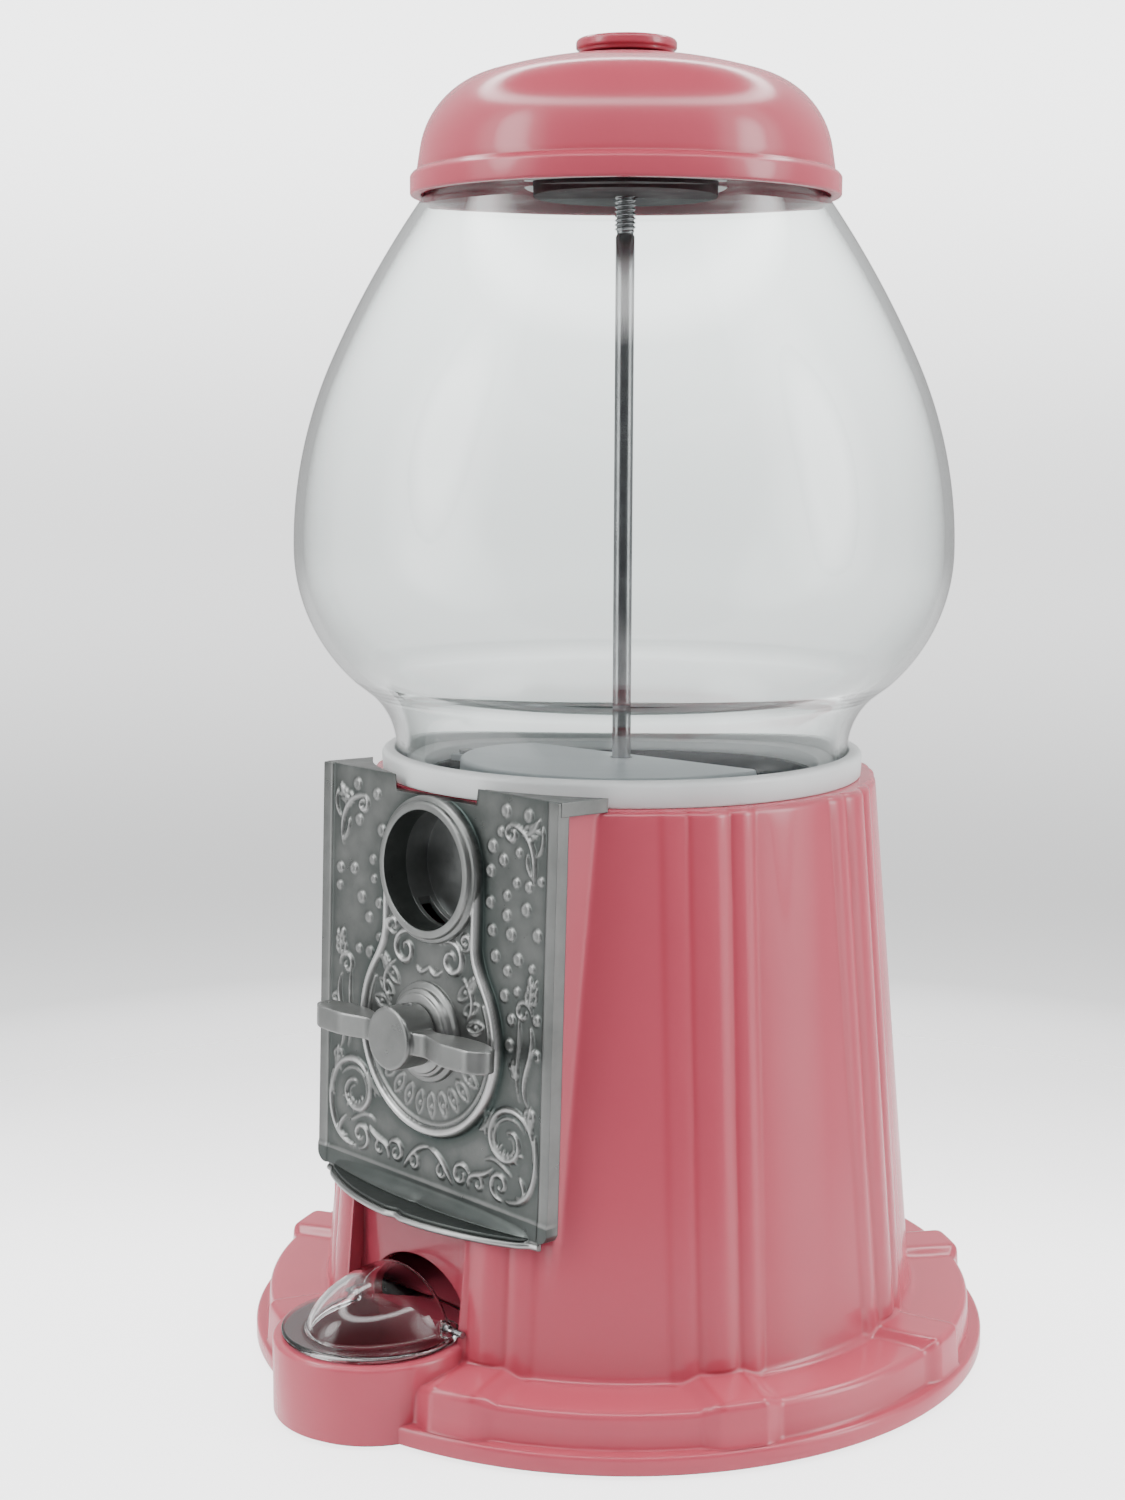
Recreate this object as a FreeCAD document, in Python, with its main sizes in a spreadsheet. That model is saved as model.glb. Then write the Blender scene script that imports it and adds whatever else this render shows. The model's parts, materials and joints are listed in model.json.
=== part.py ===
"""Coin-operated gumball machine, 381 mm tall, as a parametric FreeCAD document.

Frame: millimetres, +Z up, origin on the floor under the centre rod, front towards -Y.
The coin mechanism lives in its own tilted frame: its local origin is on the plate's
front face at the handle axis, local Y runs inwards along the handle shaft.
"""
import FreeCAD, Part
import Sketcher
import math
import os

from FreeCAD import Placement, Rotation, Vector

DRIVING_SIZES = {
    # overall
    "total_height": 381.0, "slip": 0.3, "running_gap": 0.05,
    # casting
    "plinth_radius": 110.1, "plinth_top": 6.5, "tier_radius": 105.7, "tier_top": 16.6,
    "column_foot_radius": 88.6, "column_top_radius": 74.9, "deck_top": 171.0,
    "deck_thickness": 3.5, "casting_wall": 3.0, "deck_bevel": 2.0, "step_round": 1.2,
    "foot_flare": 2.5,
    # reeded beads that run up the column, and the pads under them
    "bead_first_deg": 21.5, "bead_pitch_deg": 42.3,
    "bead_width": 13.0, "bead_height": 1.9,
    "shoulder_width": 9.0, "shoulder_height": 0.9, "pad_width": 17.8, "pad_reach": 108.2,
    "pad_rise": 2.0,
    # front box and plate
    "plate_width": 100.4, "plate_thickness": 3.5, "plate_above": 70.6, "plate_below": 49.0,
    "lean_deg": 1.82, "handle_height": 104.5, "plate_front": 73.9, "box_inset": 1.2,
    "front_land": 5.0, "front_window_below": 38.0, "front_window_above": 57.0,
    "plate_return": 14.0, "scoop_radius": 74.2,
    "visor_radius": 89.3, "visor_bottom": 52.9, "visor_top": 58.0, "visor_half_width": 46.0,
    "visor_wall": 1.6,
    # coin hole and medallion
    "hole_rise": 46.0, "hole_radius": 16.8, "collar_radius": 20.5, "collar_height": 4.0,
    "medallion_radius": 30.0, "medallion_height": 1.6, "rim_bead": 1.3,
    "cup_depth": 9.4, "cup_wall": 1.5,
    # handle and shaft
    "boss_radius": 8.9, "boss_front": 15.8, "boss_back": 5.4, "wing_reach": 36.8,
    "wing_depth": 10.5, "wing_neck": 4.6, "wing_height": 6.4, "neck_ring_radius": 11.4,
    "foot_ring_radius": 14.0, "shaft_radius": 4.0, "bush_wall": 2.0, "bush_flange": 3.0,
    "set_screw_radius": 1.5,
    # coin wheel and drive
    "coin_wheel_radius": 26.5, "coin_wheel_thickness": 3.0, "coin_radius": 12.3,
    "coin_pocket_radius": 20.0, "wheel_gap": 2.2, "bearing_plate_thickness": 1.6,
    "pillar_radius": 3.5,
    "drive_teeth": 42, "drive_pitch_radius": 44.0, "drive_width": 4.0, "crown_teeth": 16,
    "drive_inset": 53.8, "crown_face": 6.0, "addendum": 1.2, "dedendum": 1.5,
    "tooth_width": 2.3,
    # hopper
    "hopper_radius": 58.5, "hopper_wall": 1.6, "hopper_floor": 149.5, "hopper_flange": 66.0,
    "flange_thickness": 2.0, "floor_thickness": 2.0, "hub_hole": 22.0, "wheel_radius": 56.0,
    "wheel_top": 163.5, "wheel_bottom": 150.0, "pocket_radius": 12.2, "pocket_circle": 42.0,
    "ledge_reach": 8.0, "shield_radius": 48.0, "shield_top": 176.0, "shield_thickness": 2.5,
    # chute
    "chute_inner": 24.6, "chute_wall": 1.5, "chute_x": -20.0, "slide_half_width": 24.0,
    "slide_deg": 29.0,
    # doorway, tray and flap
    "door_half_width": 24.5, "door_top": 54.0, "door_back": 79.0, "sill_height": 23.0,
    "tray_radius": 27.9, "tray_centre": 95.4, "tray_top": 22.9, "tray_wall": 3.4,
    "tray_floor": 5.0, "arch_half_width": 22.3, "arch_height": 17.0,
    "flap_radius": 25.5, "flap_brim": 1.8, "flap_back": 84.6, "dome_half_width": 20.6,
    "dome_depth": 31.0, "dome_height": 14.6, "flap_wall": 1.4, "hinge_y": 85.6,
    "hinge_rise": 3.6, "pin_radius": 1.0, "ear_radius": 2.5, "ear_length": 3.2,
    # base
    "foot_thickness": 1.2, "foot_inset": 2.6, "cover_thickness": 2.0,
    "port_radius": 24.0, "port_y": 52.0, "lug_radius": 6.0, "lug_circle": 92.0,
    "screw_radius": 1.9, "screw_head_radius": 3.2,
    # globe and its seals
    "seal_radius": 71.0, "seal_height": 7.5, "seal_inner": 58.2, "seal_floor": 3.0,
    "glass_foot_radius": 66.6, "glass_wall": 3.0, "globe_radius": 96.0,
    "globe_equator": 237.0, "globe_belly_radius": 52.0, "waist_height": 178.0,
    "waist_radius": 22.5, "belly_deg": 47.5, "upper_radius": 130.5, "upper_deg": 24.4,
    "upper_joint_radius": 84.3, "upper_joint_height": 291.0, "throat_radius": 280.0,
    "throat_deg": 35.4, "neck_radius": 57.6,
    "neck_height": 337.5, "lip_radius": 57.0, "lip_height": 343.0,
    # lid
    "lid_rim_radius": 61.8, "lid_rim_bottom": 337.0, "lid_rim_height": 6.0,
    "lid_wall_radius": 59.9, "lid_shoulder_height": 351.0, "lid_crown_radius": 42.0,
    "lid_crown_height": 370.2, "lid_top": 376.8, "lid_wall": 1.2, "lid_bore": 4.2,
    "gasket_width": 5.0, "liner_radius": 29.0, "liner_thickness": 2.0,
    "knob_radius": 14.4, "knob_edge": 1.6, "insert_radius": 5.4,
    # rod
    "rod_radius": 2.75, "thread_radius": 3.1, "thread_bottom": 327.0, "rod_nut_radius": 6.0,
}

doc = FreeCAD.newDocument("gumball_machine")
sheet = doc.addObject("Spreadsheet::Sheet", "dims")


class Size:
    """A number together with the spreadsheet expression it comes from."""

    def __init__(self, number, text):
        self.number = float(number)
        self.text = text

    def __add__(self, other):
        return combine(self, other, "+")

    def __radd__(self, other):
        return combine(other, self, "+")

    def __sub__(self, other):
        return combine(self, other, "-")

    def __rsub__(self, other):
        return combine(other, self, "-")

    def __mul__(self, other):
        return combine(self, other, "*")

    def __rmul__(self, other):
        return combine(other, self, "*")

    def __truediv__(self, other):
        return combine(self, other, "/")

    def __neg__(self):
        return combine(0.0, self, "-")


def size(value):
    return value if isinstance(value, Size) else Size(value, repr(float(value)))


def combine(left, right, sign):
    a, b = size(left), size(right)
    results = {"+": a.number + b.number, "-": a.number - b.number, "*": a.number * b.number,
               "/": a.number / b.number if b.number else 0.0}
    return Size(results[sign], f"({a.text} {sign} {b.text})")


def root(value):
    """Square root that stays bound to the sheet."""
    value = size(value)
    return Size(math.sqrt(value.number), f"sqrt({value.text})")


class Sizes:
    """The sheet's aliases as attributes, so that code reads like the drawing."""


d = Sizes()
for row, (alias, value) in enumerate(DRIVING_SIZES.items(), start=1):
    sheet.set(f"A{row}", alias.replace("_", " "))
    sheet.set(f"B{row}", str(value))
    sheet.setAlias(f"B{row}", alias)
    setattr(d, alias, Size(value, f"dims.{alias}"))
doc.recompute()

X, Y, Z = Vector(1, 0, 0), Vector(0, 1, 0), Vector(0, 0, 1)
nodes = []


# ---------------------------------------------------------------- building blocks
def bind(obj, **sizes):
    for prop, value in sizes.items():
        obj.setExpression(prop, size(value).text)
    return obj


def place(obj, at=(0, 0, 0), turn=None):
    """Put an object at a bound place, turned about one axis by a bound angle in degrees."""
    if turn:
        axis, degrees = turn
        obj.Placement = Placement(Vector(), Rotation(axis, size(degrees).number))
        if isinstance(degrees, Size):
            obj.setExpression("Placement.Rotation.Angle", degrees.text)
    for letter, value in zip("xyz", at):
        obj.setExpression(f"Placement.Base.{letter}", size(value).text)
    return obj


def box(name, low, high, turn=None):
    """A box between two corners given in its own frame."""
    spans = [size(b) - size(a) for a, b in zip(low, high)]
    solid = bind(doc.addObject("Part::Box", name), Length=spans[0], Width=spans[1],
                 Height=spans[2])
    return place(solid, low, turn)


def rod(name, radius, length, at=(0, 0, 0), turn=None):
    return place(bind(doc.addObject("Part::Cylinder", name), Radius=radius, Height=length),
                 at, turn)


def cone(name, low_radius, high_radius, height, at=(0, 0, 0), turn=None):
    solid = bind(doc.addObject("Part::Cone", name), Radius1=low_radius, Radius2=high_radius,
                 Height=height)
    return place(solid, at, turn)


def fuse(name, shapes, refine=True):
    joined = doc.addObject("Part::MultiFuse", name)
    joined.Shapes = shapes
    joined.Refine = refine
    return joined


def common(name, shapes):
    shared = doc.addObject("Part::MultiCommon", name)
    shared.Shapes = shapes
    return shared


def cut(name, base, tools, refine=True):
    tool = tools[0] if len(tools) == 1 else fuse(f"{name}_tools", tools, refine=False)
    result = doc.addObject("Part::Cut", name)
    result.Base, result.Tool = base, tool
    result.Refine = refine
    return result


def node(obj, label):
    """Name a finished sub-part: its label is its file's name."""
    obj.Label = label
    nodes.append(obj)
    return obj


def origin_plane(body, role):
    return next(f for f in body.Origin.OriginFeatures if f.Role == role)


def turned(name, outline, angle=360.0):
    """A PartDesign body: a closed outline of (radius, height) points turned about Z.

    A point may carry a third value, the radius of an arc that joins it to the next
    point: positive bulges to the right of the direction of travel.
    """
    body = doc.addObject("PartDesign::Body", name)
    sketch = body.newObject("Sketcher::SketchObject", f"{name}_outline")
    sketch.AttachmentSupport = [(origin_plane(body, "XZ_Plane"), "")]
    sketch.MapMode = "FlatFace"
    points = [Vector(size(p[0]).number, size(p[1]).number, 0) for p in outline]
    for index, item in enumerate(outline):
        start, end = points[index], points[(index + 1) % len(points)]
        if len(item) == 3:
            radius = size(item[2]).number
            half = (end - start) / 2
            side = Vector(half.y, -half.x, 0).normalize() * (1 if radius > 0 else -1)
            reach = math.sqrt(max(radius * radius - half.Length ** 2, 0.0))
            middle = start + half + side * (abs(radius) - reach)
            sketch.addGeometry(Part.Arc(start, middle, end), False)
        else:
            sketch.addGeometry(Part.LineSegment(start, end), False)
    ends = []
    for index, item in enumerate(outline):
        flipped = False
        if len(item) == 3:
            flipped = (sketch.getPoint(index, 1) - points[index]).Length > 1e-4
        ends.append((2, 1) if flipped else (1, 2))
    for index, item in enumerate(outline):
        after = (index + 1) % len(outline)
        sketch.addConstraint(Sketcher.Constraint("Coincident", index, ends[index][1],
                                                 after, ends[after][0]))
    for index, item in enumerate(outline):
        for kind, value in (("DistanceX", item[0]), ("DistanceY", item[1])):
            value = size(value)
            number = sketch.addConstraint(Sketcher.Constraint(kind, -1, 1, index,
                                                              ends[index][0], value.number))
            sketch.setExpression(f"Constraints[{number}]", value.text)
        if len(item) == 3:
            radius = size(item[2])
            radius = radius if radius.number > 0 else -radius
            number = sketch.addConstraint(Sketcher.Constraint("Radius", index,
                                                              radius.number))
            sketch.setExpression(f"Constraints[{number}]", radius.text)
    spin = body.newObject("PartDesign::Revolution", f"{name}_turned")
    spin.Profile = sketch
    spin.ReferenceAxis = (sketch, ["V_Axis"])
    spin.Angle = angle
    return body


def sine(degrees):
    return Size(math.sin(math.radians(degrees.number)), f"sin({degrees.text} * 1 deg)")


def cosine(degrees):
    return Size(math.cos(math.radians(degrees.number)), f"cos({degrees.text} * 1 deg)")


def lean(obj, at=(0, 0, 0), turn=0.0):
    """Put an object in the mechanism's frame, which leans back with the plate.

    The frame's origin is on the plate's front face at the handle axis. The object is
    first turned about X, by minus the angle given, and stands at a place in that frame.
    """
    x, y, z = at
    rise, run = sine(d.lean_deg), cosine(d.lean_deg)
    world = (x, y * run + z * rise - d.plate_front, z * run - y * rise + d.handle_height)
    return place(obj, world, (-X, d.lean_deg + turn))


def shaft_piece(name, radius, front, back, at=(0, 0)):
    """A cylinder along the mechanism's own Y axis, still in the local frame."""
    return rod(name, radius, size(back) - front, (at[0], front, at[1]), (-X, 90.0))


def radial_box(name, low_radius, high_radius, width, bottom, top, degrees):
    """A box that points away from the Z axis in a given direction."""
    turn = math.radians(degrees)
    across = size(width) / 2
    corner = (low_radius * math.cos(turn) + across * math.sin(turn),
              low_radius * math.sin(turn) - across * math.cos(turn), bottom)
    solid = bind(doc.addObject("Part::Box", name), Length=size(high_radius) - low_radius,
                 Width=width, Height=size(top) - bottom)
    return place(solid, corner, (Z, degrees))


# ---------------------------------------------------------------- casting
box_half = d.plate_width / 2 - d.box_inset
seat_back = d.plate_thickness
column_slope = Size(
    math.degrees(math.atan((d.column_foot_radius.number - d.column_top_radius.number)
                           / (d.deck_top.number - d.tier_top.number))),
    "(atan((dims.column_foot_radius - dims.column_top_radius)"
    " / (dims.deck_top - dims.tier_top)) / 1 deg)")
cavity_floor_radius = d.tier_radius - d.casting_wall
sill_back = d.door_back - d.casting_wall


def casting_outline():
    flare = d.foot_flare
    return [
        (0.0, d.foot_thickness),
        (d.plinth_radius, d.foot_thickness),
        (d.plinth_radius, d.plinth_top - d.step_round, d.step_round),
        (d.plinth_radius - d.step_round, d.plinth_top),
        (d.tier_radius, d.plinth_top),
        (d.tier_radius, d.tier_top - d.step_round, d.step_round),
        (d.tier_radius - d.step_round, d.tier_top),
        (d.column_foot_radius + flare, d.tier_top, -1.3 * flare),
        (d.column_foot_radius - 0.1 * flare, d.tier_top + flare),
        (d.column_top_radius, d.deck_top - d.deck_bevel),
        (d.column_top_radius - d.deck_bevel, d.deck_top),
        (0.0, d.deck_top),
    ]


def cavity_outline():
    wall = d.casting_wall
    return [
        (0.0, 0.0),
        (cavity_floor_radius, 0.0),
        (cavity_floor_radius, d.tier_top - wall),
        (d.column_foot_radius - wall, d.tier_top - wall),
        (d.column_top_radius - wall, d.deck_top - d.deck_thickness),
        (0.0, d.deck_top - d.deck_thickness),
    ]


def reed(index, degrees):
    """One bead with its two soft shoulders, built at the front and turned into place."""
    def strip(name, width, rise, shift):
        radius = (width * width / 4 + rise * rise) / (2 * rise)
        start = (shift, radius - rise - d.column_foot_radius, d.tier_top - rise)
        length = (d.deck_top - d.tier_top) / cosine(column_slope) - d.deck_bevel
        return rod(f"{name}_{index}", radius, length, start, (-X, column_slope))
    spacing = (d.bead_width + d.shoulder_width) / 2 * 0.86
    strips = [strip("bead", d.bead_width, d.bead_height, 0.0),
              strip("left_shoulder", d.shoulder_width, d.shoulder_height, -spacing),
              strip("right_shoulder", d.shoulder_width, d.shoulder_height, spacing)]
    group = place(fuse(f"reed_{index}", strips), turn=(Z, degrees))
    pad = radial_box(f"pad_{index}", d.column_foot_radius, d.pad_reach, d.pad_width,
                     d.foot_thickness, d.tier_top + d.pad_rise, degrees - 90.0)
    return [group, pad]


def build_casting():
    outer = turned("casting_outer", casting_outline())
    cavity = turned("casting_cavity", cavity_outline())
    reeds = []
    for index in range(8):
        side = 1 if index % 2 else -1
        degrees = side * (DRIVING_SIZES["bead_first_deg"]
                          + index // 2 * DRIVING_SIZES["bead_pitch_deg"])
        reeds += reed(index, degrees)
    front_box = lean(box("front_box", (0, 0, 0), (box_half * 2, 30.0, 130.0)),
                     (-box_half, seat_back, -d.plate_below))
    outside = fuse("casting_outside", [outer, front_box] + reeds)
    hollow = cut("casting_hollow", outside, [
        cavity,
        lean(box("box_inside", (0, 0, 0), ((box_half - d.casting_wall) * 2, 60.0, 110.5)),
             (d.casting_wall - box_half, seat_back + d.casting_wall, -46.0)),
        rod("hopper_opening", d.hopper_radius + d.slip, 20.0, (0, 0, d.deck_top - 10.0)),
        rod("flange_rebate", d.hopper_flange + d.slip, 20.0,
            (0, 0, d.deck_top - d.flange_thickness)),
    ])
    door_wall = d.door_half_width + d.casting_wall
    tray = rod("tray_outside", d.tray_radius, d.tray_top - d.foot_thickness,
               (0, -d.tray_centre, d.foot_thickness))
    door_block = box("door_block", (-door_wall, -d.column_foot_radius, d.foot_thickness),
                     (door_wall, -sill_back, d.door_top + d.casting_wall))
    sill = box("sill", (-d.door_half_width, -d.door_back, d.sill_height - d.casting_wall),
               (d.door_half_width, -sill_back + 4.0, d.sill_height))
    ledge = lean(box("plate_ledge", (0, 0, 0), (box_half * 2, 24.0, 3.5)),
                 (-box_half, -16.0, -d.plate_below - 3.5))
    column = cone("column_limit", d.column_foot_radius, d.column_top_radius,
                  d.deck_top - d.tier_top, (0, 0, d.tier_top))
    tier = rod("tier_limit", d.tier_radius, d.tier_top, (0, 0, 0))
    limit = fuse("casting_limit", [column, tier])
    inside_fill = common("front_fill", [fuse("front_fill_blocks", [door_block, ledge]), limit])
    lugs = [rod(f"cover_lug_{k}", d.lug_radius, d.tier_top - d.casting_wall
                - d.foot_thickness - d.cover_thickness,
                (d.lug_circle * math.cos(math.radians(45 + 90 * k)),
                 d.lug_circle * math.sin(math.radians(45 + 90 * k)),
                 d.foot_thickness + d.cover_thickness)) for k in range(4)]
    filled = fuse("casting_filled", [hollow, inside_fill, tray, sill] + lugs)
    cup_radius = d.tray_radius - d.tray_wall
    cup = common("tray_cup", [
        rod("cup_round", cup_radius, d.door_top - d.tray_floor,
            (0, -d.tray_centre, d.tray_floor)),
        box("cup_front", (-d.tray_radius, -d.tray_centre - d.tray_radius, 0),
            (d.tray_radius, -d.door_back, d.door_top))])
    arch = common("chute_arch", [
        place(bind(doc.addObject("Part::Ellipsoid", "arch_round"), Radius1=d.arch_height,
                   Radius2=d.arch_half_width, Radius3=30.0),
              (0, -d.door_back, d.sill_height + 2.0)),
        box("arch_above_sill", (-d.arch_half_width, -d.door_back - 2.0, d.sill_height),
            (d.arch_half_width, -d.door_back + 12.0, d.door_top))])
    window = lean(box("plate_window", (0, 0, 0),
                      ((box_half - d.front_land) * 2, 30.0,
                       d.front_window_below + d.front_window_above)),
                  (d.front_land - box_half, -2.0, -d.front_window_below))
    seat = lean(box("plate_seat", (0, 0, 0), (d.plate_width + 20.0, 60.0, 140.0)),
                (-d.plate_width / 2 - 10.0, seat_back - 60.0, -d.plate_below - d.slip))
    screw_holes = [lean(rod(f"plate_screw_hole_{k}", d.screw_radius + 0.2, 20.0),
                        (x, -4.0, z), 90.0) for k, (x, z) in enumerate(PLATE_SCREWS)]
    cover_holes = [rod(f"cover_screw_hole_{k}", d.screw_radius, 8.0,
                       (d.lug_circle * math.cos(math.radians(45 + 90 * k)),
                        d.lug_circle * math.sin(math.radians(45 + 90 * k)),
                        0.0)) for k in range(4)]
    pin_hole = rod("hinge_pin_hole", d.pin_radius, d.door_half_width * 2 + 5.0,
                   (-d.door_half_width - 2.5, -d.hinge_y, d.tray_top + d.hinge_rise),
                   (Y, 90.0))
    cup_room = lean(rod("coin_cup_room", d.hole_radius + d.cup_wall + d.slip, 40.0),
                    (0, 0, d.hole_rise), 90.0)
    top_trim = box("top_trim", (-120.0, -120.0, d.deck_top), (120.0, 120.0, 260.0))
    casting = cut("casting", filled, [
        cup, arch, window, seat, pin_hole, cup_room, top_trim,
        box("doorway", (-d.door_half_width, -d.tray_centre, d.tray_floor),
            (d.door_half_width, -d.door_back, d.door_top))] + screw_holes + cover_holes)
    return node(casting, "body_casting")


# ---------------------------------------------------------------- base
def build_base():
    pad_round = rod("pad_round", d.plinth_radius - d.foot_inset, d.foot_thickness)
    pad_tray = rod("pad_tray", d.tray_radius - d.foot_inset, d.foot_thickness,
                   (0, -d.tray_centre, 0))
    port = rod("pad_port", d.port_radius + 3.0, 10.0, (0, d.port_y, -1.0))
    node(cut("foot_pad_cut", fuse("foot_pad_sheet", [pad_round, pad_tray]), [port]),
         "foot_pad")
    cover_top = d.foot_thickness + d.cover_thickness
    cover = rod("cover_disc", cavity_floor_radius - d.slip, d.cover_thickness,
                (0, 0, d.foot_thickness))
    nut = rod("cover_boss", d.rod_nut_radius + 2.0, 8.0, (0, 0, d.foot_thickness))
    holes = [rod(f"cover_hole_{k}", d.screw_radius + 0.1, 10.0,
                 (d.lug_circle * math.cos(math.radians(45 + 90 * k)),
                  d.lug_circle * math.sin(math.radians(45 + 90 * k)), 0.0)) for k in range(4)]
    node(cut("base_cover_cut", fuse("base_cover_disc", [cover, nut]), [
        rod("cover_port", d.port_radius, 10.0, (0, d.port_y, 0)),
        rod("cover_thread", d.rod_radius, 9.0, (0, 0, cover_top - 0.5)),
        rod("cover_tray_notch", d.tray_radius + d.slip, 10.0, (0, -d.tray_centre, 0)),
        box("cover_door_notch", (-d.door_half_width - 4.0, -100.0, 0),
            (d.door_half_width + 4.0, -sill_back + 0.3, 10.0))] + holes), "base_cover")
    screws = []
    for k in range(4):
        x = d.lug_circle * math.cos(math.radians(45 + 90 * k))
        y = d.lug_circle * math.sin(math.radians(45 + 90 * k))
        screws += [rod(f"cover_screw_{k}", d.screw_radius, 6.8 - 0.4,
                       (x, y, d.foot_thickness))]
    node(fuse("cover_screws", screws), "cover_screws")
    node(cut("coin_plug_cut", fuse("coin_plug_body", [
        rod("plug_stem", d.port_radius, 5.0, (0, d.port_y, 0.6)),
        rod("plug_lip", d.port_radius + 1.5, 1.5, (0, d.port_y, cover_top))]), [
        rod("plug_dish", d.port_radius - 3.0, 3.0, (0, d.port_y, 0.0))]), "coin_plug")


PLATE_SCREWS = [(-30.0, 60.8), (30.0, 60.8), (-33.0, -43.4), (33.0, -43.4)]
MECH_PILLARS = [(-30.0, 24.0), (30.0, 24.0), (-30.0, -28.0), (30.0, -28.0)]


# ---------------------------------------------------------------- front plate
def build_plate():
    half = d.plate_width / 2
    face = [
        box("plate_slab", (-half, 0, -d.plate_below), (half, d.plate_thickness,
                                                       d.plate_above)),
        box("plate_return_flange", (-half, 0, d.plate_above - 3.2),
            (half, d.plate_thickness + d.plate_return, d.plate_above)),
        shaft_piece("coin_collar", d.collar_radius, -d.collar_height, 0.0, (0, d.hole_rise)),
        shaft_piece("medallion", d.medallion_radius, -d.medallion_height, 0.0),
        box("medallion_neck", (-d.collar_radius, -d.medallion_height, 0),
            (d.collar_radius, 0, d.hole_rise)),
        shaft_piece("foot_ring", d.foot_ring_radius, -3.4, 0.0),
        shaft_piece("neck_ring", d.neck_ring_radius, -d.boss_back + d.slip, 0.0),
        shaft_piece("bush_boss", d.shaft_radius + d.bush_wall + 2.5, 0.0,
                    d.plate_thickness + 1.5),
    ]
    bead = place(bind(doc.addObject("Part::Torus", "medallion_bead"),
                      Radius1=d.medallion_radius - d.rim_bead, Radius2=d.rim_bead),
                 (0, -d.medallion_height, 0), (X, 90.0))
    lip = place(bind(doc.addObject("Part::Torus", "collar_bead"),
                     Radius1=(d.hole_radius + d.collar_radius) / 2, Radius2=d.rim_bead),
                (0, -d.collar_height, d.hole_rise), (X, 90.0))
    strips = [rod(f"border_strip_{k}", 0.9, d.plate_below + d.plate_above - 6.0,
                  (side * (half - 2.2), 0.0, -d.plate_below + 1.5))
              for k, side in enumerate((-1, 1))]
    local = cut("plate_local", fuse("plate_solid", face + [bead, lip] + strips), [
        shaft_piece("coin_hole", d.hole_radius, -8.0, 8.0, (0, d.hole_rise)),
        shaft_piece("bush_bore", d.shaft_radius + d.bush_wall, -8.0, 8.0),
    ] + [shaft_piece(f"plate_thread_{k}", d.screw_radius, 1.0, 6.0, spot)
         for k, spot in enumerate(PLATE_SCREWS + MECH_PILLARS)])
    lean(local)
    skirt = common("visor_block", [
        rod("visor_round", d.visor_radius, d.visor_top - d.visor_bottom,
            (0, 0, d.visor_bottom)),
        box("visor_front", (-d.visor_half_width, -d.visor_radius, d.visor_bottom),
            (d.visor_half_width, -d.plate_front + 0.5, d.visor_top))])
    hood = cut("visor_hood", skirt, [
        rod("visor_inside", d.visor_radius - d.visor_wall, 2.7,
            (0, 0, d.visor_bottom - 0.001))])
    plate = cut("plate_cut", fuse("plate_with_visor", [local, hood]), [
        rod("ring_scoop", d.scoop_radius, 20.0, (0, 0, d.deck_top - 0.7))])
    node(plate, "front_plate")
    screws = []
    for k, spot in enumerate(PLATE_SCREWS):
        back = seat_back + d.casting_wall
        screws += [shaft_piece(f"plate_screw_{k}", d.screw_radius, 1.0, back, spot),
                   shaft_piece(f"plate_screw_head_{k}", d.screw_head_radius, back,
                               back + 2.2, spot)]
    node(lean(fuse("plate_screws_group", screws)), "plate_screws")


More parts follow.
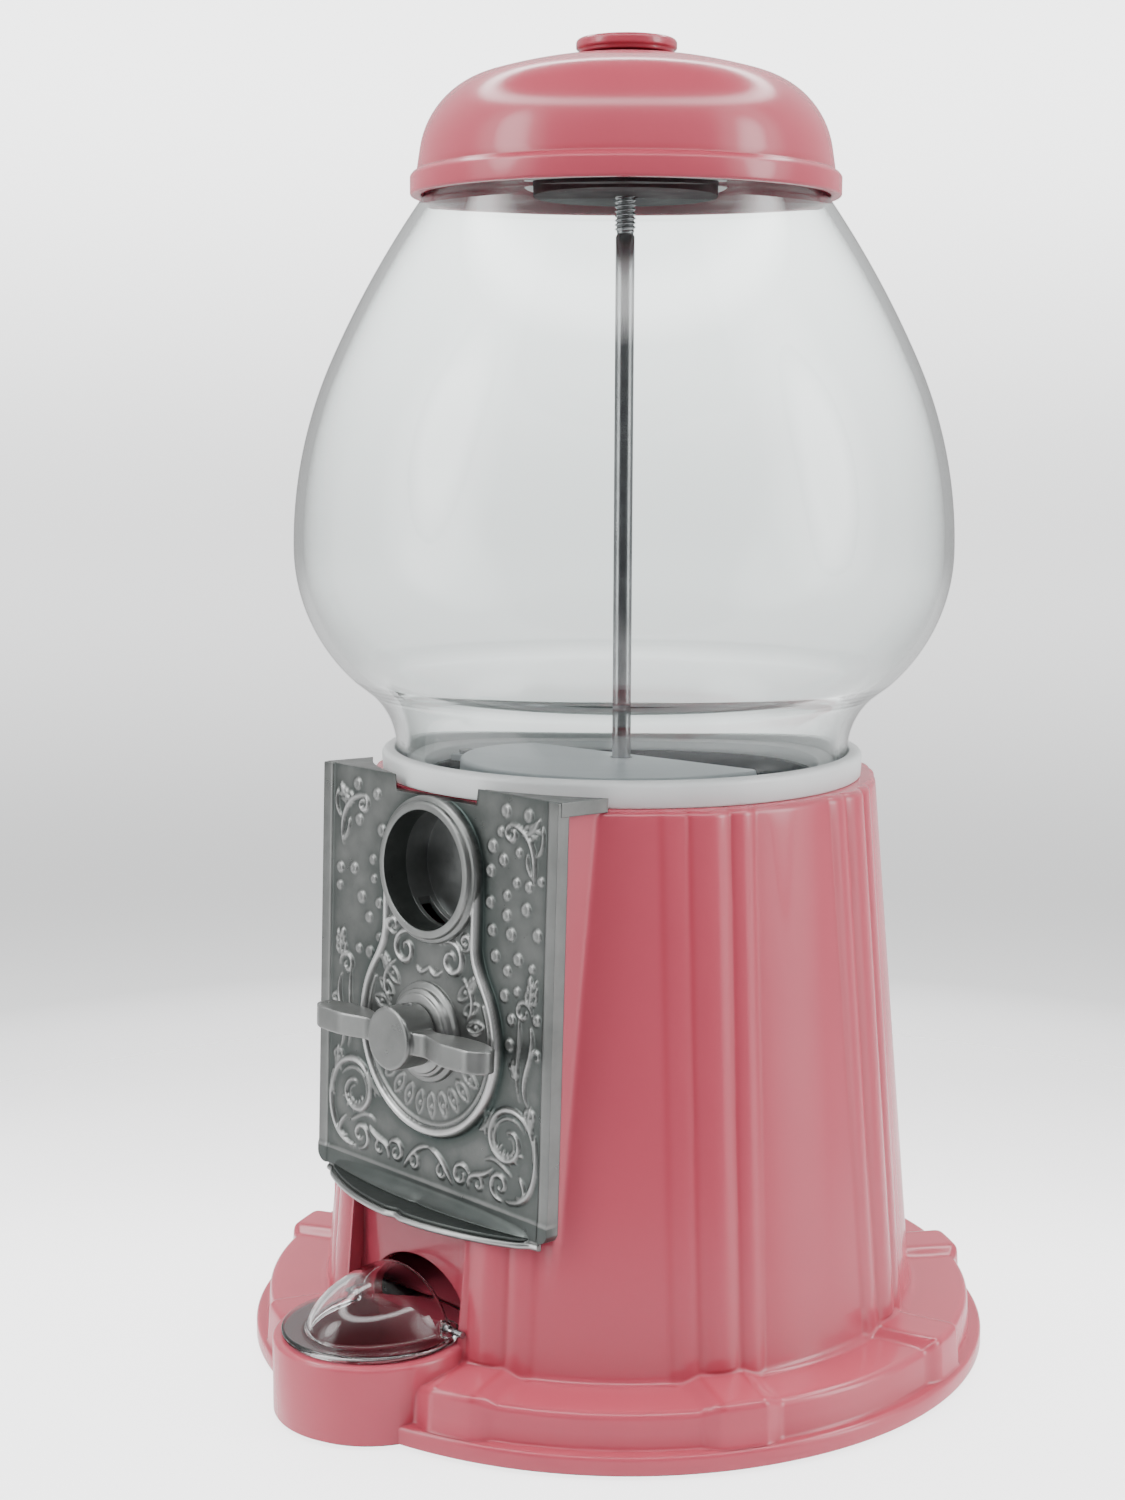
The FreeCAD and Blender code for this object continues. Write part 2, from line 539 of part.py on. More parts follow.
# ---------------------------------------------------------------- coin mechanism
def build_mechanism():
    back = seat_back
    cup_outer = d.hole_radius + d.cup_wall
    cup_end = back + d.cup_depth
    wheel_front = back + d.wheel_gap
    wheel_back = wheel_front + d.coin_wheel_thickness
    bearing_front = wheel_back + 3.3
    bearing_back = bearing_front + d.bearing_plate_thickness
    shaft_end = d.drive_inset + d.drive_width + 3.0

    cup = cut("coin_cup_local", shaft_piece("coin_cup_tube", cup_outer, back, cup_end,
                                            (0, d.hole_rise)), [
        shaft_piece("coin_cup_inside", d.hole_radius, back - 1.0, cup_end - d.cup_wall,
                    (0, d.hole_rise)),
        box("coin_slot", (-13.0, wheel_front - 0.8, d.hole_rise - cup_outer - 1.0),
            (13.0, wheel_back + 0.8, d.hole_rise - 9.0))])
    node(lean(cup), "coin_cup")

    boss = [shaft_piece("handle_boss", d.boss_radius, -d.boss_front, -d.boss_back)]
    for k, side in enumerate((-1, 1)):
        tip = d.wing_reach - d.wing_depth / 2
        middle = -d.boss_front + d.wing_depth / 2
        boss += [
            place(bind(doc.addObject("Part::Cylinder", f"wing_tip_{k}"),
                       Radius=d.wing_depth / 2, Height=d.wing_height),
                  (side * tip, middle, -d.wing_height / 2)),
            place(bind(doc.addObject("Part::Wedge", f"wing_{k}"),
                       Xmin=-d.wing_neck / 2, Xmax=d.wing_neck / 2, Ymin=0.0, Ymax=tip,
                       X2min=-d.wing_depth / 2, X2max=d.wing_depth / 2,
                       Zmin=-d.wing_height / 2, Zmax=d.wing_height / 2,
                       Z2min=-d.wing_height / 2, Z2max=d.wing_height / 2),
                  (0, middle, 0), (Z, -90.0 * side)),
        ]
    handle = cut("handle_local", fuse("handle_solid", boss), [
        shaft_piece("handle_bore", d.shaft_radius, -d.boss_front + 4.0, 0.0),
        rod("set_screw_hole", d.set_screw_radius, 20.0, (0, -d.boss_back - 3.5, 0))])
    node(lean(handle), "handle")
    node(lean(rod("set_screw", d.set_screw_radius, d.boss_radius - d.shaft_radius - 0.2),
              (0, -d.boss_back - 3.5, d.shaft_radius)), "handle_set_screw")
    node(lean(rod("shaft", d.shaft_radius, shaft_end + d.boss_front - 4.0),
              (0, -d.boss_front + 4.0, 0), 90.0), "handle_shaft")

    bush = cut("bush_local", fuse("bush_solid", [
        shaft_piece("bush_tube", d.shaft_radius + d.bush_wall, -d.boss_back + d.slip,
                    back + 1.5),
        shaft_piece("bush_collar", d.shaft_radius + d.bush_flange, back + 1.5,
                    back + 2.0)]), [
        shaft_piece("bush_hole", d.shaft_radius + d.running_gap, -20.0, 20.0)])
    node(lean(bush), "shaft_bush")

    wheel = cut("coin_wheel_local", fuse("coin_wheel_solid", [
        shaft_piece("coin_wheel_disc", d.coin_wheel_radius, wheel_front, wheel_back),
        shaft_piece("coin_wheel_hub", d.shaft_radius + 3.0, wheel_front, bearing_front - 0.4),
    ]), [shaft_piece("coin_pocket", d.coin_radius, 0.0, 12.0, (0, d.coin_pocket_radius)),
         shaft_piece("coin_wheel_bore", d.shaft_radius, 0.0, 20.0)])
    node(lean(wheel), "coin_wheel")

    plate = cut("bearing_plate_local", box("bearing_plate_sheet",
                                           (-35.0, bearing_front, -33.0),
                                           (35.0, bearing_back, 27.0)), [
        shaft_piece("bearing_hole", d.shaft_radius + d.running_gap, 0.0, 30.0)
    ] + [shaft_piece(f"pillar_hole_{k}", d.screw_radius, 0.0, 30.0, spot)
         for k, spot in enumerate(MECH_PILLARS)])
    node(lean(plate), "bearing_plate")
    pillars = [cut(f"pillar_{k}", shaft_piece(f"pillar_bar_{k}", d.pillar_radius, back,
                                              bearing_front, spot),
                   [shaft_piece(f"pillar_bore_{k}", d.screw_radius, 0.0, 30.0, spot)])
               for k, spot in enumerate(MECH_PILLARS)]
    node(lean(fuse("pillars_group", pillars)), "bearing_pillars")
    screws = []
    for k, spot in enumerate(MECH_PILLARS):
        screws += [shaft_piece(f"pillar_screw_{k}", d.screw_radius, 1.0, bearing_back, spot),
                   shaft_piece(f"pillar_screw_head_{k}", d.screw_head_radius, bearing_back,
                               bearing_back + 2.0, spot)]
    node(lean(fuse("pillar_screws_group", screws)), "bearing_screws")
    build_drive_gear()
    node(lean(cut("clip_local", shaft_piece("clip_disc", d.shaft_radius + 3.0,
                                            d.drive_inset + d.drive_width,
                                            d.drive_inset + d.drive_width + 1.0),
                  [shaft_piece("clip_bore", d.shaft_radius, 0.0, 90.0)])), "shaft_clip")


def polygon_sketch(body, name, corners, plane="XY_Plane"):
    """A closed sketch through corners whose coordinates are bound to the sheet."""
    sketch = body.newObject("Sketcher::SketchObject", name)
    sketch.AttachmentSupport = [(origin_plane(body, plane), "")]
    sketch.MapMode = "FlatFace"
    points = [Vector(size(a).number, size(b).number, 0) for a, b in corners]
    count = len(points)
    for index in range(count):
        sketch.addGeometry(Part.LineSegment(points[index], points[(index + 1) % count]), False)
    for index, (a, b) in enumerate(corners):
        sketch.addConstraint(Sketcher.Constraint("Coincident", index, 2,
                                                 (index + 1) % count, 1))
        for kind, value in (("DistanceX", size(a)), ("DistanceY", size(b))):
            number = sketch.addConstraint(Sketcher.Constraint(kind, -1, 1, index, 1,
                                                              value.number))
            sketch.setExpression(f"Constraints[{number}]", value.text)
    return sketch


def circle_sketch(body, name, radius, plane="XY_Plane"):
    sketch = body.newObject("Sketcher::SketchObject", name)
    sketch.AttachmentSupport = [(origin_plane(body, plane), "")]
    sketch.MapMode = "FlatFace"
    sketch.addGeometry(Part.Circle(Vector(), Z, size(radius).number), False)
    sketch.addConstraint(Sketcher.Constraint("Coincident", 0, 3, -1, 1))
    number = sketch.addConstraint(Sketcher.Constraint("Radius", 0, size(radius).number))
    sketch.setExpression(f"Constraints[{number}]", size(radius).text)
    return sketch


def pad(body, name, sketch, length):
    feature = body.newObject("PartDesign::Pad", name)
    feature.Profile = sketch
    feature.setExpression("Length", size(length).text)
    return feature


def build_drive_gear():
    body = doc.addObject("PartDesign::Body", "drive_gear_body")
    root_radius = d.drive_pitch_radius - d.dedendum
    pad(body, "gear_disc", circle_sketch(body, "gear_circle", root_radius), d.drive_width)
    half = d.tooth_width / 2
    tip = d.drive_pitch_radius + d.addendum
    tooth = pad(body, "gear_tooth", polygon_sketch(body, "tooth_outline", [
        (root_radius - 1.0, -half), (tip, -half * 0.8), (tip, half * 0.8),
        (root_radius - 1.0, half)]), d.drive_width)
    doc.recompute()
    ring = body.newObject("PartDesign::PolarPattern", "gear_teeth")
    ring.Originals = [tooth]
    ring.Axis = (origin_plane(body, "Z_Axis"), [""])
    ring.Angle = 360.0
    ring.setExpression("Occurrences", "dims.drive_teeth")
    body.Tip = ring
    bore_sketch = circle_sketch(body, "gear_bore_circle", d.shaft_radius)
    bore = body.newObject("PartDesign::Pocket", "gear_bore")
    bore.Profile = bore_sketch
    bore.Type = "ThroughAll"
    bore.Midplane = True
    body.Tip = bore
    node(lean(body, (0, d.drive_inset, 0), 90.0), "drive_gear")


# ---------------------------------------------------------------- hopper and wheel
def build_hopper():
    floor_low = d.hopper_floor - d.floor_thickness
    inner = d.hopper_radius - d.hopper_wall
    flange_low = d.deck_top - d.flange_thickness
    dish = turned("hopper_dish", [
        (d.hub_hole, floor_low), (d.hopper_radius, floor_low),
        (d.hopper_radius, flange_low), (d.hopper_flange, flange_low),
        (d.hopper_flange, d.deck_top), (inner, d.deck_top),
        (inner, d.hopper_floor), (d.hub_hole, d.hopper_floor)])
    ledges = [radial_box(f"hopper_ledge_{k}", inner - d.ledge_reach, inner + 0.5, 9.0,
                         d.wheel_top + 2.5, d.deck_top, degrees)
              for k, degrees in enumerate(SHIELD_FEET)]
    outlet_half = d.chute_inner / 2
    outlet = box("hopper_outlet", (d.chute_x - outlet_half, outlet_y - outlet_half, 140.0),
                 (d.chute_x + outlet_half, outlet_y + outlet_half, 151.0))
    threads = [rod(f"ledge_thread_{k}", 1.4, 6.0, foot_spot(degrees, d.deck_top - 5.0))
               for k, degrees in enumerate(SHIELD_FEET)]
    node(cut("hopper_cut", fuse("hopper_with_ledges", [dish] + ledges), [outlet] + threads),
         "hopper")

    crown_mean = d.drive_pitch_radius * d.crown_teeth / d.drive_teeth
    gear_centre = d.handle_height - d.drive_inset * sine(d.lean_deg)
    pitch_top = gear_centre + d.drive_pitch_radius
    hub_bottom = pitch_top + d.dedendum + 0.6
    wheel = [rod("wheel_disc", d.wheel_radius, d.wheel_top - d.wheel_bottom,
                 (0, 0, d.wheel_bottom)),
             rod("wheel_hub", crown_mean + d.crown_face / 2, d.wheel_bottom - hub_bottom,
                 (0, 0, hub_bottom))]
    count = DRIVING_SIZES["crown_teeth"]
    wheel += [radial_box(f"crown_tooth_{k}", crown_mean - d.crown_face / 2,
                         crown_mean + d.crown_face / 2, d.tooth_width,
                         pitch_top - d.addendum, hub_bottom + 0.2, 360.0 / count * k)
              for k in range(count)]
    pockets = [rod(f"ball_pocket_{k}", d.pocket_radius, 30.0,
                   (side * d.chute_x, side * outlet_y, d.wheel_bottom - 5.0))
               for k, side in enumerate((1, -1))]
    node(cut("dispensing_wheel_cut", fuse("dispensing_wheel_solid", wheel),
             pockets + [rod("wheel_bore", d.rod_radius + d.running_gap, 40.0,
                            (0, 0, hub_bottom - 6.0)),
                        rod("wheel_recess", crown_mean - d.crown_face / 2 - 1.0, 8.0,
                            (0, 0, hub_bottom - 6.0))]), "dispensing_wheel")

    top, low = d.shield_top, d.shield_top - d.shield_thickness
    plate = common("shield_half", [
        rod("shield_disc", d.shield_radius, d.shield_thickness, (0, 0, low)),
        box("shield_front", (-60.0, -60.0, low), (60.0, 7.0, top))])
    feet = [radial_box(f"shield_foot_{k}", d.shield_radius - 4.0, inner - d.slip, 8.0,
                       d.deck_top, d.deck_top + 2.0, degrees)
            for k, degrees in enumerate(SHIELD_FEET)]
    legs = [radial_box(f"shield_leg_{k}", d.shield_radius - 4.0, d.shield_radius - 1.0, 8.0,
                       d.deck_top, top - 0.5, degrees) for k, degrees in enumerate(SHIELD_FEET)]
    holes = [rod(f"shield_foot_hole_{k}", 1.5, 6.0, foot_spot(degrees, d.deck_top - 1.0))
             for k, degrees in enumerate(SHIELD_FEET)]
    node(cut("shield_cut", fuse("shield_solid", [plate] + feet + legs), holes + [
        rod("shield_rod_hole", d.rod_radius + 0.6, 20.0, (0, 0, low - 5.0))]),
        "outlet_shield")
    screws = []
    for k, degrees in enumerate(SHIELD_FEET):
        screws += [rod(f"shield_screw_{k}", 1.4, 6.5, foot_spot(degrees, d.deck_top - 4.5)),
                   rod(f"shield_screw_head_{k}", 2.6, 1.4,
                       foot_spot(degrees, d.deck_top + 2.0))]
    node(fuse("shield_screws_group", screws), "shield_screws")


SHIELD_FEET = [-20.0, -90.0, -160.0]
outlet_y = -root(d.pocket_circle * d.pocket_circle - d.chute_x * d.chute_x)


def foot_spot(degrees, height):
    radius = d.hopper_radius - d.hopper_wall - d.ledge_reach / 2
    turn = math.radians(degrees)
    return radius * math.cos(turn), radius * math.sin(turn), height


def build_chute():
    half = d.chute_inner / 2
    wall = d.chute_wall
    floor_low = d.hopper_floor - d.floor_thickness
    bottom = 62.0
    duct = cut("duct", box("duct_outer", (d.chute_x - half - wall, outlet_y - half - wall,
                                          bottom),
                           (d.chute_x + half + wall, outlet_y + half + wall,
                            floor_low - d.slip)), [
        box("duct_inner", (d.chute_x - half, outlet_y - half, bottom - 1.0),
            (d.chute_x + half, outlet_y + half, 160.0))])
    slide_top = outlet_y + half + wall
    front = d.tray_radius + d.slip - d.tray_centre
    run = slide_top - front
    side = d.slide_half_width
    length = run / cosine(d.slide_deg) + 4.0
    trough = cut("trough_local", box("trough_outer", (-side - wall - 9.0, 0, 0),
                                     (side + wall, length, 16.0)), [
        box("trough_inner", (-side - 9.0, -1.0, wall), (side, length - wall, 30.0))])
    place(trough, (0, front + 1.0, d.sill_height - wall + 0.3), (X, d.slide_deg))
    trim = cut("trough_trimmed", trough, [
        box("trough_front_trim", (-60.0, front - 40.0, 0), (60.0, front, 90.0)),
        box("trough_back_trim", (-60.0, slide_top, 0), (60.0, slide_top + 40.0, 110.0))])
    strut = box("duct_strut", (d.chute_x - half - wall, slide_top - wall, 40.0),
                (d.chute_x + half + wall, slide_top, bottom + 1.0))
    node(fuse("chute_solid", [duct, trim, strut]), "chute")


# ---------------------------------------------------------------- globe, seal and rod
def build_globe():
    foot_bottom = d.deck_top + d.seal_floor
    wall = d.glass_wall
    sin_b, cos_b = sine(d.belly_deg), cosine(d.belly_deg)
    waist = (d.glass_foot_radius + d.waist_radius * (1 - cos_b),
             d.waist_height + d.waist_radius * sin_b)
    belly = (d.globe_radius - d.globe_belly_radius * (1 - cos_b),
             d.globe_equator - d.globe_belly_radius * sin_b)
    up_r, up_z = d.upper_joint_radius, d.upper_joint_height
    node(turned("globe_glass", [
        (d.glass_foot_radius - wall, foot_bottom),
        (d.glass_foot_radius, foot_bottom),
        (d.glass_foot_radius, d.waist_height, -d.waist_radius),
        (waist[0], waist[1]),
        (belly[0], belly[1], d.globe_belly_radius),
        (d.globe_radius, d.globe_equator, d.upper_radius),
        (up_r, up_z, d.throat_radius),
        (d.neck_radius, d.neck_height),
        (d.lip_radius, d.lip_height),
        (d.lip_radius - wall, d.lip_height),
        (d.neck_radius - wall * cosine(d.throat_deg),
         d.neck_height - wall * sine(d.throat_deg), -(d.throat_radius - wall)),
        (up_r - wall * cosine(d.upper_deg), up_z - wall * sine(d.upper_deg),
         -(d.upper_radius - wall)),
        (d.globe_radius - wall, d.globe_equator, -(d.globe_belly_radius - wall)),
        (belly[0] - wall * cos_b, belly[1] + wall * sin_b),
        (waist[0] - wall * cos_b, waist[1] + wall * sin_b, d.waist_radius + wall),
        (d.glass_foot_radius - wall, d.waist_height),
    ]), "globe")
    inner_foot = d.glass_foot_radius - wall - d.slip
    node(turned("seal", [
        (d.seal_inner, d.deck_top), (d.seal_radius - 0.8, d.deck_top),
        (d.seal_radius, d.deck_top + 0.8),
        (d.seal_radius, d.deck_top + d.seal_height - 1.5, 1.5),
        (d.seal_radius - 1.5, d.deck_top + d.seal_height),
        (d.glass_foot_radius + d.slip, d.deck_top + d.seal_height),
        (d.glass_foot_radius + d.slip, foot_bottom),
        (inner_foot, foot_bottom), (inner_foot, foot_bottom + 2.0),
        (d.seal_inner, foot_bottom + 1.2)]), "globe_seal")

    bottom = d.foot_thickness + d.cover_thickness - 0.5
    top = d.total_height - 3.0
    node(fuse("rod_solid", [
        rod("rod_plain", d.rod_radius, d.thread_bottom - bottom, (0, 0, bottom)),
        rod("rod_thread", d.thread_radius, top - d.thread_bottom, (0, 0, d.thread_bottom))]),
        "centre_rod")


# ---------------------------------------------------------------- lid
def build_lid():
    wall = d.lid_wall
    rim_in = d.neck_radius + 1.0
    ledge = d.lip_height + 2.6
    rim_top = d.lid_rim_bottom + d.lid_rim_height
    bead = d.step_round
    shoulder = (d.lid_wall_radius - 1.3, d.lid_shoulder_height - 1.0)
    crown = (d.lid_crown_radius, d.lid_crown_height)
    node(turned("lid_dome", [
        (rim_in, d.lid_rim_bottom), (d.lid_rim_radius, d.lid_rim_bottom),
        (d.lid_rim_radius, rim_top - bead, bead), (d.lid_rim_radius - bead, rim_top + 0.1),
        (d.lid_wall_radius, rim_top + 1.4),
        (shoulder[0], shoulder[1], Size(25.0, "25.0")),
        (crown[0], crown[1], Size(155.0, "155.0")),
        (d.lid_bore, d.lid_top),
        (d.lid_bore, d.lid_top - wall, Size(-154.0, "-154.0")),
        (crown[0] - 0.3, crown[1] - wall, Size(-23.8, "-23.8")),
        (shoulder[0] - wall, shoulder[1]),
        (shoulder[0] - wall, ledge + wall),
        (d.lip_radius - d.gasket_width, ledge + wall), (d.lip_radius - d.gasket_width, ledge),
        (rim_in, ledge)]), "lid")
    gap = d.slip
    node(turned("gasket", [
        (d.lip_radius - d.gasket_width, d.lip_height + gap),
        (d.lip_radius + 1.0, d.lip_height + gap),
        (d.lip_radius + 1.0, ledge), (d.lip_radius - d.gasket_width, ledge)]), "lid_gasket")
    low = d.lid_rim_bottom + 1.5
    bore = d.thread_radius + d.slip
    node(turned("liner", [
        (bore, low), (d.liner_radius, low), (d.liner_radius, low + d.liner_thickness),
        (d.rod_nut_radius + 1.0, low + d.liner_thickness),
        (d.rod_nut_radius, d.lid_top - wall - 0.25), (bore, d.lid_top - wall - 0.25)]),
        "lid_liner")
    node(turned("washer", [
        (bore + 0.2, low - 2.0), (d.liner_radius - 2.5, low - 2.0),
        (d.liner_radius - 2.5, low), (bore + 0.2, low)]), "lid_washer")
    edge = d.knob_edge
    knob_low = d.lid_top + 0.1
    node(turned("knob_disc", [
        (d.insert_radius, knob_low), (d.knob_radius - 0.8, knob_low),
        (d.knob_radius, knob_low + 0.8), (d.knob_radius, d.total_height - edge, edge),
        (d.knob_radius - edge, d.total_height), (0.0, d.total_height),
        (0.0, d.total_height - 1.6), (d.insert_radius, d.total_height - 1.6)]), "lid_knob")
    node(turned("insert", [
        (d.thread_radius + d.running_gap, knob_low - 0.0),
        (d.insert_radius, knob_low), (d.insert_radius, d.total_height - 1.6),
        (d.thread_radius + d.running_gap, d.total_height - 1.6)]), "knob_insert")


# ---------------------------------------------------------------- tray flap
def build_flap():
    brim_low = d.tray_top + d.slip
    brim_top = brim_low + d.flap_brim
    wall = d.flap_wall
    centre = (0, -d.flap_back, brim_low)

    def dome(name, less):
        return place(bind(doc.addObject("Part::Ellipsoid", name),
                          Radius1=d.dome_height + d.flap_brim - less,
                          Radius2=d.dome_half_width - less, Radius3=d.dome_depth - less),
                     centre)
    def front_of_hinge(name, height):
        return box(name, (-60.0, -d.flap_back - 60.0, brim_low), (60.0, -d.flap_back, height))
    brim = rod("flap_brim", d.flap_radius, d.flap_brim, (0, -d.tray_centre, brim_low))
    ears = [rod(f"flap_ear_{k}", d.ear_radius, d.ear_length,
                (x, -d.hinge_y, d.tray_top + d.hinge_rise), (Y, 90.0))
            for k, x in enumerate((d.door_half_width - 1.4 - d.ear_length,
                                   1.4 - d.door_half_width))]
    shell = cut("flap_shell", common("flap_outside", [
        fuse("flap_round", [brim, dome("dome_outside", 0.0)]),
        front_of_hinge("flap_front", d.door_top)]), [dome("dome_inside", wall)])
    flap = cut("flap_cut", fuse("flap_solid", [shell] + ears), [
        rod("ear_bore", d.pin_radius + d.running_gap, 80.0,
            (-40.0, -d.hinge_y, d.tray_top + d.hinge_rise), (Y, 90.0))])
    node(flap, "tray_flap")
    start = d.door_half_width - 1.4 - d.ear_length
    reach = 1.4 + d.ear_length + 2.4
    node(fuse("pins_group", [
        rod("pin_right", d.pin_radius, reach,
            (start, -d.hinge_y, d.tray_top + d.hinge_rise), (Y, 90.0)),
        rod("pin_left", d.pin_radius, reach,
            (-start - reach, -d.hinge_y, d.tray_top + d.hinge_rise), (Y, 90.0))]),
        "flap_pins")


# ---------------------------------------------------------------- build, check, write
build_casting()
build_base()
build_plate()
build_mechanism()
build_hopper()
build_chute()
build_globe()
build_lid()
build_flap()
doc.recompute()

failed = [o for o in doc.Objects if "Invalid" in o.State or "Error" in o.State]
if failed:
    raise RuntimeError("failed: " + ", ".join(f"{o.Label} {o.getStatusString()}" for o in failed))
for obj in nodes:
    if obj.Shape.isNull() or not obj.Shape.isValid():
        raise RuntimeError(f"{obj.Label} has no valid shape")

os.makedirs("parts", exist_ok=True)
for obj in nodes:
    obj.Shape.exportStep(f"parts/{obj.Label}.step")
    limits = obj.Shape.optimalBoundingBox()
    print(f"{obj.Label:18s} solids {len(obj.Shape.Solids)}  volume {obj.Shape.Volume:10.1f}  "
          f"x {limits.XMin:7.1f} {limits.XMax:7.1f}  y {limits.YMin:7.1f} {limits.YMax:7.1f}  "
          f"z {limits.ZMin:7.1f} {limits.ZMax:7.1f}")
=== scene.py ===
"""Visual model of a coin-operated gumball machine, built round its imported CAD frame.

Lengths in the mesh code are millimetres and are scaled to metres when a mesh is made.
Front is -Y, +Z is up, and the origin is on the floor under the centre rod.
"""
import json
import math

import bmesh
import bpy
import numpy as np
from mathutils import Matrix, Vector


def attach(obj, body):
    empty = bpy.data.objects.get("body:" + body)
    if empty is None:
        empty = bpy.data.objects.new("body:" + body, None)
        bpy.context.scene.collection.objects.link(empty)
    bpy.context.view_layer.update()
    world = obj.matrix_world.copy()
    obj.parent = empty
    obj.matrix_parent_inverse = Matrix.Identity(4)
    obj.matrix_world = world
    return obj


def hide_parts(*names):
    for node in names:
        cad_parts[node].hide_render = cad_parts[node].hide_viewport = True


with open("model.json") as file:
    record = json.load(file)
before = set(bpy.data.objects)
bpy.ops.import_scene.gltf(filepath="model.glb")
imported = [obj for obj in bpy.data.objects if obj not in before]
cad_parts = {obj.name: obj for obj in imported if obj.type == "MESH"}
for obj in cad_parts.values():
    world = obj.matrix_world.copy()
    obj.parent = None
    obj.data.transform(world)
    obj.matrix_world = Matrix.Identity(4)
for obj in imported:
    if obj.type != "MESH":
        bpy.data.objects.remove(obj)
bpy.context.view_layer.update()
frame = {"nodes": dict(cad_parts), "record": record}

MM = 0.001
LEAN = math.radians(1.82)
HANDLE = (0.0, -73.9, 104.5)
LEANED = (Matrix.Translation(Vector(HANDLE) * MM) @ Matrix.Rotation(-LEAN, 4, "X"))
OUTWARDS = Matrix.Rotation(math.radians(90.0), 4, "X")
HINGE = Matrix.Translation((0, -85.6 * MM, 26.5 * MM)) @ Matrix.Rotation(math.pi / 2, 4, "Y")
PLATE_HALF, PLATE_LOW, PLATE_HIGH = 50.2, -49.0, 70.6
COIN_RISE = 46.0  # of the coin hole above the handle axis
TRAY_SPOT = (0.0, -95.4)
LUG_SPOTS = [(92 * math.cos(math.radians(45 + 90 * k)), 92 * math.sin(math.radians(45 + 90 * k)))
             for k in range(4)]
PLATE_SCREWS = [(-30, 60.8), (30, 60.8), (-33, -43.4), (33, -43.4)]
BEARING_SCREWS = [(-30, 24), (30, 24), (-30, -28), (30, -28)]


# ------------------------------------------------------------------ mesh helpers
def build(name, verts, faces):
    """A mesh object from millimetre points, with its faces turned outwards."""
    mesh = bpy.data.meshes.new(name)
    mesh.from_pydata(np.asarray(verts, float) * MM, [], faces)
    bm = bmesh.new()
    bm.from_mesh(mesh)
    bmesh.ops.remove_doubles(bm, verts=bm.verts, dist=1e-7)
    bmesh.ops.recalc_face_normals(bm, faces=bm.faces)
    bm.to_mesh(mesh)
    bm.free()
    obj = bpy.data.objects.new(name, mesh)
    bpy.context.scene.collection.objects.link(obj)
    return obj


def grid_faces(rows, cols, wrap_rows=False, wrap_cols=False):
    r = np.arange(rows if wrap_rows else rows - 1)
    c = np.arange(cols if wrap_cols else cols - 1)
    a, b = np.meshgrid(r, c, indexing="ij")
    a1, b1 = (a + 1) % rows, (b + 1) % cols
    quads = [a * cols + b, a * cols + b1, a1 * cols + b1, a1 * cols + b]
    return np.stack(quads, -1).reshape(-1, 4)


def rounded(points, closed=True, step=0.5):
    """The outline through points (r, z[, corner radius]) with its corners rounded."""
    out, count = [], len(points)
    for i, point in enumerate(points):
        b = np.array(point[:2], float)
        radius = point[2] if len(point) > 2 else 0.0
        if radius <= 0 or (not closed and i in (0, count - 1)):
            out.append(b)
            continue
        u = np.array(points[i - 1][:2], float) - b
        v = np.array(points[(i + 1) % count][:2], float) - b
        lu, lv = np.linalg.norm(u), np.linalg.norm(v)
        u, v = u / lu, v / lv
        half = math.acos(max(-1.0, min(1.0, float(u @ v)))) / 2
        reach = min(radius / math.tan(half), 0.49 * lu, 0.49 * lv)
        r = reach * math.tan(half)
        centre = b + (u + v) / np.linalg.norm(u + v) * r / math.sin(half)
        first, last = b + u * reach - centre, b + v * reach - centre
        a0 = math.atan2(first[1], first[0])
        sweep = (math.atan2(last[1], last[0]) - a0 + math.pi) % (2 * math.pi) - math.pi
        n = max(3, int(abs(sweep) * r / step) + 2)
        for t in np.linspace(0, 1, n):
            out.append(centre + r * np.array([math.cos(a0 + sweep * t),
                                              math.sin(a0 + sweep * t)]))
    return np.array(out)


def arc(p, q, radius, count):
    """Points after p up to q on an arc that bulges to the right of travel if radius > 0."""
    p, q = np.array(p, float), np.array(q, float)
    chord = q - p
    length = np.linalg.norm(chord)
    right = np.array([chord[1], -chord[0]]) / length * np.sign(radius)
    centre = (p + q) / 2 - right * math.sqrt(radius ** 2 - length ** 2 / 4)
    a0 = math.atan2(*(p - centre)[::-1])
    a1 = math.atan2(*(q - centre)[::-1])
    sweep = (a1 - a0 + math.pi) % (2 * math.pi) - math.pi
    angles = a0 + sweep * np.linspace(0, 1, count + 1)[1:]
    return [tuple(centre + abs(radius) * np.array([math.cos(a), math.sin(a)])) for a in angles]


def dense(path, step, closed=True):
    """The same path with points added so that no run is longer than step."""
    out, count = [], len(path)
    for i in range(count if closed else count - 1):
        a, b = path[i], path[(i + 1) % count]
        n = max(1, int(math.ceil(np.linalg.norm(b - a) / step)))
        out += [a + (b - a) * k / n for k in range(n)]
    if not closed:
        out.append(path[-1])
    return np.array(out)


def lathe(name, path, segments=160, closed=True, centre=(0.0, 0.0)):
    """A profile of (r, z) points turned about the vertical through centre."""
    path = np.asarray(path, float)
    turn = np.linspace(0, 2 * math.pi, segments, endpoint=False)
    r, z = path[:, 0][:, None], path[:, 1][:, None]
    verts = np.stack([centre[0] + r * np.cos(turn), centre[1] + r * np.sin(turn),
                      z + 0 * turn], -1).reshape(-1, 3)
    return build(name, verts, grid_faces(len(path), segments, closed, True))


def prism(name, outline, low, high):
    """A flat outline of (x, z) points pulled along Y from low to high."""
    outline = np.asarray(outline, float)
    n = len(outline)
    verts = [(x, y, z) for y in (low, high) for x, z in outline]
    faces = [tuple(range(n)), tuple(range(2 * n - 1, n - 1, -1))]
    faces += [(i, n + i, n + (i + 1) % n, (i + 1) % n) for i in range(n)]
    return build(name, verts, faces)


